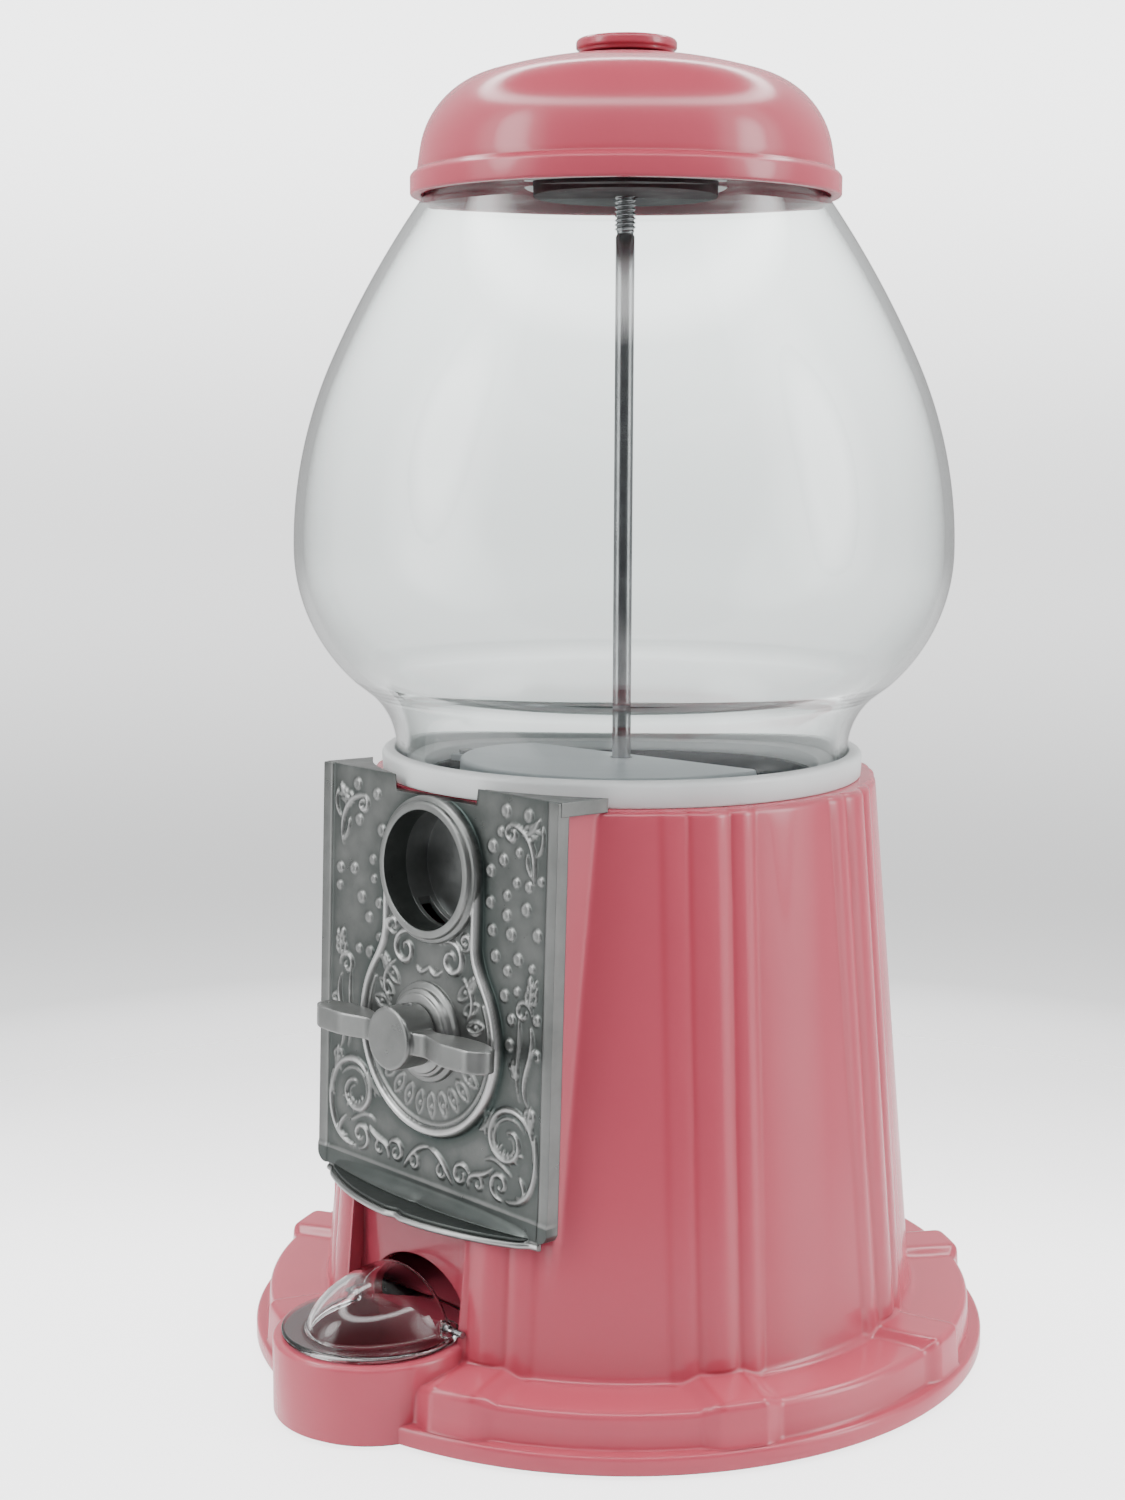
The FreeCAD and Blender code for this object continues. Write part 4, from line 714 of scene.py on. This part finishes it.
    # rosette of plain petals round the handle in place of pictures
    for k in range(26):
        turn = 2 * math.pi * k / 26
        if abs(math.sin(turn)) < 0.2 or math.sin(turn) > 0.72:
            continue
        ray = np.array([math.cos(turn), math.sin(turn)])
        side = np.array([-ray[1], ray[0]])
        for s in (-1, 1):
            petal = bend(ray * 17.2, ray * 19.0 + side * s * 2.2, ray * 22.4 + side * s * 1.9,
                         ray * 24.4, 10)
            relief.ridge(petal, 0.42, 0.55, both=False, fade=0.4)
        relief.disc(*(ray * 21.0), 0.75, 0.5)
    # loose dots over the plain field
    random = np.random.default_rng(7)
    busy = blurred(relief.lines, 4.0)
    for side, wanted in ((-1, 15), (1, 26)):
        spots, tries = [], 0
        while len(spots) < wanted and tries < 3000:
            tries += 1
            px, pz = side * random.uniform(23.4, 44.0), random.uniform(-3.0, 66.0)
            size = random.uniform(1.25, 1.85)
            apart = min([math.hypot(px - a, pz - b) for a, b in spots] + [99.0])
            if apart < 5.0 or relief.sample(np.array([px]), np.array([pz]), busy)[0] > 0.05:
                continue
            spots.append((px, pz))
            relief.disc(px, pz, size, 0.6)
    relief.h += relief.lines
    relief.h = blurred(np.pad(relief.h, 12, mode="edge"), 0.55)[12:-12, 12:-12]
    return relief


def plate_slab(relief):
    """The plate with its raised face in front and one flat face behind."""
    rows, cols = relief.h.shape
    front = np.stack([relief.x, -relief.h, relief.z], -1).reshape(-1, 3)
    ring = ([(0, c) for c in range(cols)] + [(r, cols - 1) for r in range(1, rows)]
            + [(rows - 1, c) for c in range(cols - 2, -1, -1)]
            + [(r, 0) for r in range(rows - 2, 0, -1)])
    edge = np.array([r * cols + c for r, c in ring])
    back = front[edge].copy()
    back[:, 1] = 3.5
    n, first = len(edge), len(front)
    faces = [tuple(f) for f in grid_faces(rows, cols)]
    faces += [(int(edge[i]), first + i, first + (i + 1) % n, int(edge[(i + 1) % n]))
              for i in range(n)]
    faces.append(tuple(first + i for i in range(n)))
    return build("plate_casting", np.vstack([front, back]), faces)


def visor():
    """The bow-fronted hood under the plate: a cove that rolls out to a bright lip."""
    xs = np.linspace(-46.2, 46.2, 141)
    rows = []
    for x in xs:
        face = HANDLE[1] + (57.0 - HANDLE[2]) * math.tan(LEAN)
        bow = -math.sqrt(88.9 ** 2 - x * x) + 1.0 * math.exp(-(x / 2.2) ** 2)
        bow += 0.8 * math.exp(-((abs(x) - 43.5) / 1.6) ** 2)
        lip = min(bow, face - 0.6)
        cove = [(face + (lip + 0.9 - face) * (1 - math.cos(t)), 60.2 - 5.6 * math.sin(t))
                for t in np.linspace(0, math.pi / 2, 10)]
        bead = [(lip + 0.95 + 0.95 * math.cos(t), 53.95 + 0.95 * math.sin(t))
                for t in np.linspace(math.radians(100), math.radians(262), 9)]
        section = [(face + 2.0, 60.2)] + cove + bead \
            + [(lip + 1.6, 53.0), (lip + 1.6, 55.75), (face + 2.0, 55.75)]
        rows.append([(x, y, z) for y, z in section])
    rows = np.array(rows)
    count, size = rows.shape[:2]
    faces = [tuple(f) for f in grid_faces(count, size, False, True)]
    faces += [tuple(range(size)), tuple(range(count * size - 1, (count - 1) * size - 1, -1))]
    return build("visor", rows.reshape(-1, 3), faces)


def face_ring(name, outline, rise=0.0, step=0.35):
    """A turned detail that stands on the plate's face, at rise above the handle axis."""
    obj = moved(lathe(name, rounded(outline, step=step), 160), OUTWARDS)
    return moved(obj, Matrix.Translation((0, 0, rise * MM)))


def front_plate():
    relief = ornament()
    plate = plate_slab(relief)
    outline = rounded([(-PLATE_HALF, PLATE_LOW, 3.4), (PLATE_HALF, PLATE_LOW, 3.4),
                       (PLATE_HALF, PLATE_HIGH, 0.5), (-PLATE_HALF, PLATE_HIGH, 0.5)], step=0.4)
    combined(plate, [prism("plate_outline", outline, -12.0, 12.0)], "INTERSECT")
    collar = face_ring("collar", [
        (15.8, -1.0), (20.7, -1.0), (20.7, 2.9, 0.9), (19.3, 3.2, 0.3), (19.1, 4.5, 1.0),
        (16.6, 4.5, 0.8), (15.8, 2.5)], COIN_RISE)
    foot = face_ring("foot", [
        (5.0, -1.0), (14.3, -1.0), (14.3, 2.5, 0.8), (12.6, 2.9, 0.3), (12.3, 4.0, 0.4),
        (11.3, 4.4, 0.3), (11.3, 5.1, 0.5), (5.0, 5.1)])
    hub = face_ring("hub", [(5.0, -5.0), (8.5, -5.0), (8.5, 0.5), (5.0, 0.5)])
    flange = block("flange", (-PLATE_HALF, 0.6, 66.8), (PLATE_HALF, 17.5, PLATE_HIGH))
    combined(plate, [collar, foot, hub, flange], "UNION")
    hole = plate_rod("hole", 16.8, -8.0, 12.0, h=COIN_RISE, segments=160)
    bore = plate_rod("bore", 6.0, -12.0, 12.0)
    threads = [plate_rod(f"thread{k}", 1.9, -6.0, -1.0, *spot, segments=32)
               for k, spot in enumerate(PLATE_SCREWS + BEARING_SCREWS)]
    combined(plate, [hole, bore] + threads, "DIFFERENCE")
    moved(plate, LEANED)
    combined(plate, [visor()], "UNION")
    combined(plate, [rod("scoop", 73.8, 170.3, 190.0, segments=256)], "DIFFERENCE")
    local = points_of(plate) @ np.array(LEANED.to_3x3()) \
        - np.array(HANDLE) @ np.array(LEANED.to_3x3())
    fine = relief.h - blurred(relief.h, 5.0)
    wide = relief.h - blurred(relief.h, 18.0)
    value = relief.sample(local[:, 0], local[:, 2], 0.49 + 0.45 * fine + 0.15 * wide)
    off_face = (local[:, 1] > 0.4) | (local[:, 2] < -44.0)
    value = np.where(off_face, 0.52, value)
    proud = -local[:, 1] - relief.sample(local[:, 0], local[:, 2], relief.h)
    value = np.where(proud > 0.3, 0.45 + 0.07 * proud, value)
    inside_hole = np.hypot(local[:, 0], local[:, 2] - COIN_RISE) < 17.1
    value = np.where(inside_hole, 0.35, value)
    cove = (points_of(plate)[:, 2] < 60.3) & (local[:, 1] < -0.3)
    lip_gap = np.abs(points_of(plate)[:, 2] - 53.9)
    value = np.where(cove, 0.30 + 0.55 * np.exp(-(lip_gap / 0.9) ** 2), value)
    point_value(plate, "rub", np.clip(value, 0, 1))
    return piece(plate, "front_plate", 48.0)


# ------------------------------------------------------------------ handle
def handle():
    """A winged thumb turn: a disc-faced boss and two paddles with soft edges."""
    boss = moved(lathe("boss", rounded([(0, 5.4), (8.9, 5.4, 0.7), (8.9, 15.8, 0.8), (0, 15.8)],
                                       closed=False, step=0.2), 128, False), OUTWARDS)
    for side in (-1, 1):
        leaf_plan = rounded([(2.0, -15.0), (7.5, -14.6, 3.0), (12.5, -12.9, 5.0),
                             (22.0, -15.6, 9.0), (32.0, -15.2, 6.0), (36.9, -12.4, 3.6),
                             (36.2, -7.4, 4.0), (29.0, -5.2, 8.0), (20.5, -5.4, 7.0),
                             (12.5, -8.2, 5.0), (7.5, -6.4, 3.0), (2.0, -6.0)], step=0.5)
        wing = prism("wing", leaf_plan * (side, 1), -3.2, 3.2)
        moved(wing, Matrix(((1, 0, 0, 0), (0, 0, 1, 0), (0, -1, 0, 0), (0, 0, 0, 1))))
        combined(boss, [wing], "UNION")
    cast(boss, 0.30, 4)
    bore = plate_rod("handle_bore", 4.0, 0.0, 11.8)
    screw = rod("screw_hole", 1.5, 0.0, 20.0, (0, -8.9), 48)
    combined(boss, [bore, screw], "DIFFERENCE")
    local = points_of(boss)
    moved(boss, LEANED)
    edge = np.exp(-((np.abs(local[:, 2]) - 3.1) / 0.5) ** 2) * (np.abs(local[:, 0]) > 9)
    value = 0.60 + 0.10 * edge
    point_value(boss, "rub", np.clip(value, 0, 1))
    return piece(boss, "handle", 60.0)


# ------------------------------------------------------------------ globe, lid, rod
def globe():
    belly_turn, waist_turn = math.radians(47.5), math.radians(47.5)
    foot, waist_r, belly_r, big = 66.6, 22.5, 52.0, 96.0
    waist = (foot + waist_r * (1 - math.cos(waist_turn)), 178.0 + waist_r * math.sin(waist_turn))
    belly = (big - belly_r * (1 - math.cos(belly_turn)), 237.0 - belly_r * math.sin(belly_turn))
    path = [(foot, 174.1), (foot, 176.0), (foot, 178.0)]
    path += arc(path[-1], waist, -waist_r, 16)
    path += [tuple(np.array(waist) + (np.array(belly) - waist) * t) for t in (0.33, 0.66, 1.0)]
    path += arc(path[-1], (big, 237.0), belly_r, 28)
    path += arc(path[-1], (84.3, 291.0), 130.5, 26)
    path += arc(path[-1], (57.6, 337.5), 280.0, 24)
    path += [(57.2, 340.0), (57.0, 341.5)]
    outer = np.array(path)
    lean = np.gradient(outer, axis=0)
    lean /= np.linalg.norm(lean, axis=1)[:, None]
    normal = np.stack([lean[:, 1], -lean[:, 0]], -1)
    for _ in range(3):
        normal[1:-1] = (normal[:-2] + normal[1:-1] * 2 + normal[2:]) / 4
    thick = 2.7 + 0.3 * smooth_step(200, 178, outer[:, 1])
    inner = outer - normal * thick[:, None]
    lip_mid = (outer[-1] + inner[-1]) / 2
    half = np.linalg.norm(outer[-1] - inner[-1]) / 2
    lip = [lip_mid + half * np.array([math.cos(a), math.sin(a)])
           for a in np.linspace(0.15, math.pi - 0.15, 9)]
    loop = np.vstack([outer, lip, inner[::-1]])
    return piece(lathe("globe_glass", loop, 256), "globe", 50.0)


def lid():
    crown = [(58.9, 350.4)]
    crown += arc(crown[-1], (42.0, 370.2), 25.0, 14)
    crown += arc(crown[-1], (4.2, 376.8), 155.0, 16)
    inside = [(4.2, 375.6)]
    inside += arc(inside[-1], (41.7, 369.0), -154.0, 14)
    inside += arc(inside[-1], (57.4, 350.0), -23.8, 12)
    rim = rounded([(58.7, 339.0), (58.7, 337.0, 0.5), (61.8, 337.0, 0.7), (61.8, 342.4, 1.0),
                   (61.0, 343.4, 0.9), (59.9, 344.0, 0.5), (59.6, 346.0)], closed=False, step=0.25)
    skirt = [(57.4, 346.8), (52.0, 346.8), (52.0, 345.6), (58.7, 345.6)]
    loop = np.vstack([rim, crown, inside, skirt])
    obj = lathe("lid_dome", loop, 256)
    co = points_of(obj)
    # painted shade in the corner where the rim bead meets the dome
    crease_shade = 0.7 * np.exp(-((co[:, 2] - 344.2) / 0.7) ** 2) * (np.hypot(co[:, 0], co[:, 1]) > 59)
    point_value(obj, "crease_shade", np.clip(crease_shade, 0, 1))
    return piece(obj, "lid", 40.0)


def knob():
    outline = [(5.45, 376.95), (13.4, 376.95, 0.5), (13.4, 377.9, 0.2), (14.4, 378.2, 0.5),
               (14.4, 381.0, 1.3), (9.6, 381.0, 0.6), (9.2, 380.7, 0.4), (0.0, 380.7)]
    path = np.vstack([rounded(outline, closed=False, step=0.2), [(0.0, 379.4), (5.45, 379.4)]])
    obj = lathe("lid_knob_disc", path, 160)
    point_value(obj, "crease_shade", np.zeros(len(obj.data.vertices)))
    return piece(obj, "lid_knob", 40.0)


def centre_rod():
    """The rod, with a real helical thread where it meets the lid."""
    plain = [(0.0, 2.75), (2.45, 2.75), (2.75, 3.05), (2.75, 325.6), (2.35, 326.4), (2.35, 326.9)]
    low = lathe("rod_shank", dense(np.array(plain + [(0.0, 326.9)]), 30.0, False), 48, False)
    segments, pitch = 40, 1.25
    zs = np.arange(326.6, 377.6, 0.16)
    turn = np.linspace(0, 2 * math.pi, segments, endpoint=False)
    phase = (zs[:, None] / pitch - turn[None] / (2 * math.pi)) % 1.0
    wave = 0.5 - 0.5 * np.cos(2 * math.pi * phase)
    fade = smooth_step(326.6, 328.0, zs)[:, None] * smooth_step(377.6, 376.9, zs)[:, None]
    r = 2.45 + 0.60 * wave * fade
    verts = np.stack([r * np.cos(turn), r * np.sin(turn), zs[:, None] + 0 * turn], -1)
    faces = [tuple(f) for f in grid_faces(len(zs), segments, False, True)]
    last = (len(zs) - 1) * segments
    faces += [tuple(range(segments)), tuple(range(last + segments - 1, last - 1, -1))]
    thread = build("rod_thread", verts.reshape(-1, 3), faces)
    combined(low, [thread], "UNION")
    return piece(low, "centre_rod", 40.0)


def seal():
    outline = [
        (58.2, 171.05), (70.6, 171.05, 0.6), (71.0, 178.4, 1.6), (67.0, 178.4, 0.5),
        (67.0, 174.05), (63.2, 174.05), (63.2, 176.0, 0.4), (58.2, 175.2, 0.5)]
    return piece(lathe("globe_seal_ring", rounded(outline, step=0.25), 256), "globe_seal", 40.0)


def shield():
    """The moulded cover over the outlet: a half disc with rolled edges, a skirt and feet."""
    half = combined(lathe("shield_disc", rounded([(0, 171.4), (48.0, 171.4, 0.3), (47.6, 176.0, 1.2),
                                                  (0, 176.0)], closed=False, step=0.25),
                          200, False), [block("shield_front", (-60, -60, 160), (60, 7, 190))],
                    "INTERSECT")
    hollow = combined(rod("shield_hollow", 46.2, 165.0, 174.3, segments=160),
                      [block("hollow_front", (-60, -60, 160), (60, 5.2, 190))], "INTERSECT")
    combined(half, [hollow, rod("rod_gap", 3.4, 160.0, 190.0, segments=64)], "DIFFERENCE")
    feet, holes = [], []
    for k, degrees in enumerate((-20.0, -90.0, -160.0)):
        turn = math.radians(degrees)
        foot = block(f"foot{k}", (44.0, -4.0, 171.05), (56.6, 4.0, 173.0))
        feet.append(moved(foot, Matrix.Rotation(turn, 4, "Z")))
        spot = (52.9 * math.cos(turn), 52.9 * math.sin(turn))
        holes.append(rod(f"foot_hole{k}", 1.5, 165.0, 175.0, spot, 32))
    combined(half, feet, "UNION")
    combined(half, holes, "DIFFERENCE")
    return piece(half, "outlet_shield", 35.0)


# ------------------------------------------------------------------ tray flap
def flap():
    """The clear lift-up lid of the tray: a half dome on a flat brim with hinge ears."""
    low, back, top = 23.2, -84.6, 1.8
    brim = lathe("flap_brim", rounded([(0, low), (25.5, low, 0.5), (25.5, low + top, 0.7),
                                       (0, low + top)], closed=False, step=0.3), 200, False,
                 TRAY_SPOT)
    dome = ellipsoid("dome", (0, back, low), (20.6, 31.0, 16.4), 160)
    combined(brim, [dome], "UNION")
    combined(brim, [block("front_half", (-60, -160, low), (60, back, 60))], "INTERSECT")
    ears = [moved(rod(f"ear{k}", 2.5, x, x + 3.2, segments=64), HINGE)
            for k, x in enumerate((19.9, -23.1))]
    combined(brim, ears, "UNION")
    hollow = ellipsoid("hollow", (0, back, low), (19.2, 29.6, 15.0), 160)
    combined(brim, [hollow], "DIFFERENCE")
    cast(brim, 0.42, 3)
    bore = moved(rod("ear_bore", 1.05, -40.0, 40.0, segments=48), HINGE)
    combined(brim, [bore], "DIFFERENCE")
    return piece(brim, "tray_flap", 60.0)


casting()
front_plate()
handle()
globe()
lid()
knob()
centre_rod()
seal()
shield()
flap()

for name, obj in frame["nodes"].items():
    if obj.hide_render:
        continue
    obj.data.materials.clear()
    slot = SLOT_OF[name]
    obj.data.materials.append(PLAIN_PEWTER if slot == "pewter" else MATERIALS[slot])
    shaded(obj, 30.0)

# ------------------------------------------------------------------ stage, camera and light
CAMERA_TURN = math.radians(45.44)
CAMERA_DISTANCE, CAMERA_HEIGHT = 0.67707, 0.27527
YAW, PITCH, ROLL = math.radians(1.481), math.radians(8.284), math.radians(0.214)


def stage_floor():
    """A wide pale disc that fades out into the backdrop colour at its edge."""
    rings = np.linspace(0, 1, 40) ** 1.4 * 2600.0
    obj = lathe("floor", np.stack([rings, 0 * rings - 0.05], -1), 128, False)
    material, tree, shader = nodes_of("floor_paper")
    tint = mixed(tree, ranged(tree, noise(tree, 4.0, 3.0), 0, 1),
                 (0.80, 0.79, 0.80), (0.83, 0.82, 0.83))
    coords = node(tree, "TexCoord")
    length = node(tree, "VectorMath", links={0: coords.outputs["Object"]}, operation="LENGTH")
    fade = ranged(tree, length.outputs["Value"], 0.6, 0.0, 0.24, 0.46)
    feed(tree, shader,
         {"Roughness": 0.5, "Specular IOR Level": 0.3, "Emission Strength": 0.7,
          "Emission Color": (1.0, 0.99, 1.0, 1.0)},
         {"Base Color": tint, "Alpha": fade})
    obj.data.materials.append(material)
    obj.data.shade_smooth()


def sky(tree, height, stops):
    """A vertical gradient given as (height from -1 to 1, brightness) stops."""
    ramp = node(tree, "ValToRGB", links={"Fac": ranged(tree, height, 0, 1, -1, 1)})
    ramp.color_ramp.interpolation = "EASE"
    elements = ramp.color_ramp.elements
    for k, (level, grey) in enumerate(stops):
        element = elements[k] if k < 2 else elements.new(0.5)
        element.position = (level + 1) / 2
        element.color = (grey * 0.0995, grey * 0.1, grey * 0.1005, 1)
    return ramp.outputs[0]


def backdrop():
    """A white paper sweep to look at, and a studio that is dimmer on the camera's side."""
    world = bpy.data.worlds.new("room")
    world.use_nodes = True
    bpy.context.scene.world = world
    tree = world.node_tree
    way = node(tree, "TexCoord").outputs["Generated"]
    height = node(tree, "SeparateXYZ", links={0: way}).outputs["Z"]
    # what the camera sees: a bright backdrop, with painted shade in a darker band around and just
    # below the horizon
    seen = sky(tree, height, [(-1.0, 6.5), (1.0, 5.0), (-0.36, 5.5), (-0.27, 1.6),
                              (-0.20, 1.15), (-0.06, 1.9), (0.16, 4.0)])
    felt = sky(tree, height, [(-1.0, 1.2), (1.0, 1.3), (-0.2, 1.0), (-0.05, 0.6), (0.25, 0.7),
                              (0.6, 1.0)])
    toward = node(tree, "VectorMath", {1: (0.707, -0.707, 0.1)}, {0: way},
                  operation="DOT_PRODUCT").outputs["Value"]
    dim = mixed(tree, ranged(tree, toward, 0, 1, 0.15, 0.85), (1.0, 1.0, 1.0), (0.22, 0.22, 0.23))
    shaded_room = node(tree, "Mix", data_type="RGBA", blend_type="MULTIPLY")
    feed(tree, shaded_room, {"Factor": 1.0}, {6: felt, 7: dim})
    path = node(tree, "LightPath").outputs
    unlit = math_of(tree, "LESS_THAN", path["Diffuse Depth"], 0.5)
    mirrored = math_of(tree, "GREATER_THAN", path["Glossy Depth"], 0.5)
    squashed = node(tree, "VectorMath", {1: (1.0, 1.0, 0.6)}, {0: way}, operation="MULTIPLY")
    unit = node(tree, "VectorMath", links={0: squashed.outputs[0]}, operation="NORMALIZE")
    glows = []
    for spot in ((-0.40, -0.92, 0.20), (0.87, 0.50, 0.20)):
        near = node(tree, "VectorMath", {1: spot}, {0: unit.outputs[0]},
                    operation="DOT_PRODUCT")
        glows.append(ranged(tree, near.outputs["Value"], 0.0, 0.22, 0.93, 0.99))
    glints = math_of(tree, "MULTIPLY", math_of(tree, "ADD", *glows), mirrored)
    lit_room = node(tree, "Mix", data_type="RGBA", blend_type="ADD", clamp_factor=False)
    lit_room.inputs[7].default_value = (1, 1, 1, 1)
    feed(tree, lit_room, links={"Factor": math_of(tree, "MULTIPLY", glints, unlit),
                                6: shaded_room.outputs[2]})
    bounces = math_of(tree, "ADD", path["Diffuse Depth"], path["Glossy Depth"])
    direct = math_of(tree, "LESS_THAN", bounces, 0.5)
    feed(tree, tree.nodes["Background"], {"Strength": 10.0},
         {"Color": mixed(tree, direct, lit_room.outputs[2], seen)})


def camera():
    data = bpy.data.cameras.new("camera")
    data.sensor_width, data.lens, data.sensor_fit = 36.0, 55.23, "AUTO"
    data.clip_start, data.clip_end = 0.02, 20.0
    obj = bpy.data.objects.new("camera", data)
    bpy.context.scene.collection.objects.link(obj)
    turn = CAMERA_TURN + YAW
    forward = Vector((-math.sin(turn) * math.cos(PITCH), math.cos(turn) * math.cos(PITCH),
                      -math.sin(PITCH)))
    right = Vector((math.cos(turn), math.sin(turn), 0.0))
    upward = right.cross(forward)
    x_axis = math.cos(ROLL) * right + math.sin(ROLL) * upward
    y_axis = -math.sin(ROLL) * right + math.cos(ROLL) * upward
    matrix = Matrix((x_axis, y_axis, -forward)).transposed().to_4x4()
    matrix.translation = (CAMERA_DISTANCE * math.sin(CAMERA_TURN),
                          -CAMERA_DISTANCE * math.cos(CAMERA_TURN), CAMERA_HEIGHT)
    obj.matrix_world = matrix
    bpy.context.scene.camera = obj


def lamp(name, turn, distance, height, size, strength, fade=0.55, hole=0.0,
         target=(0, 0, 0.20)):
    """An oval lamp face that fades out towards its edge, aimed at the object.

    turn is its compass turn from the front, and hole fades its middle to make a ring.
    """
    rings = np.linspace(0, 1, 13) / MM
    obj = lathe(name, np.stack([rings, 0 * rings], -1), 64, False)
    material, tree, shader = nodes_of(name + "_glow")
    coords = node(tree, "TexCoord")
    length = node(tree, "VectorMath", links={0: coords.outputs["Object"]}, operation="LENGTH")
    reach = length.outputs["Value"]
    glow = ranged(tree, reach, strength, 0.0, fade, 1.0)
    if hole:
        inner = ranged(tree, reach, 0.0, 1.0, hole, hole + 0.12)
        glow = math_of(tree, "MULTIPLY", glow, inner)
    feed(tree, shader, {"Emission Color": (1, 1, 1, 1), "Base Color": (0, 0, 0, 1)},
         {"Emission Strength": glow})
    obj.data.materials.append(material)
    angle = math.radians(turn)
    place = Vector((distance * math.sin(angle), -distance * math.cos(angle), height))
    obj.location = place
    obj.rotation_euler = (Vector(target) - place).to_track_quat("-Z", "Y").to_euler()
    obj.scale = (size[0], size[1], 1.0)
    obj.visible_camera = obj.visible_transmission = False


stage_floor()
backdrop()
camera()
lamp("key", -20.0, 1.15, 0.75, (0.28, 0.55), 9.0)
lamp("fill", 118.0, 1.25, 0.60, (0.28, 0.60), 10.0)
lamp("ring", -135.0, 0.14, 1.15, (0.92, 0.92), 12.0, fade=0.86, hole=0.66,
     target=(-0.10, 0.10, 0.0))
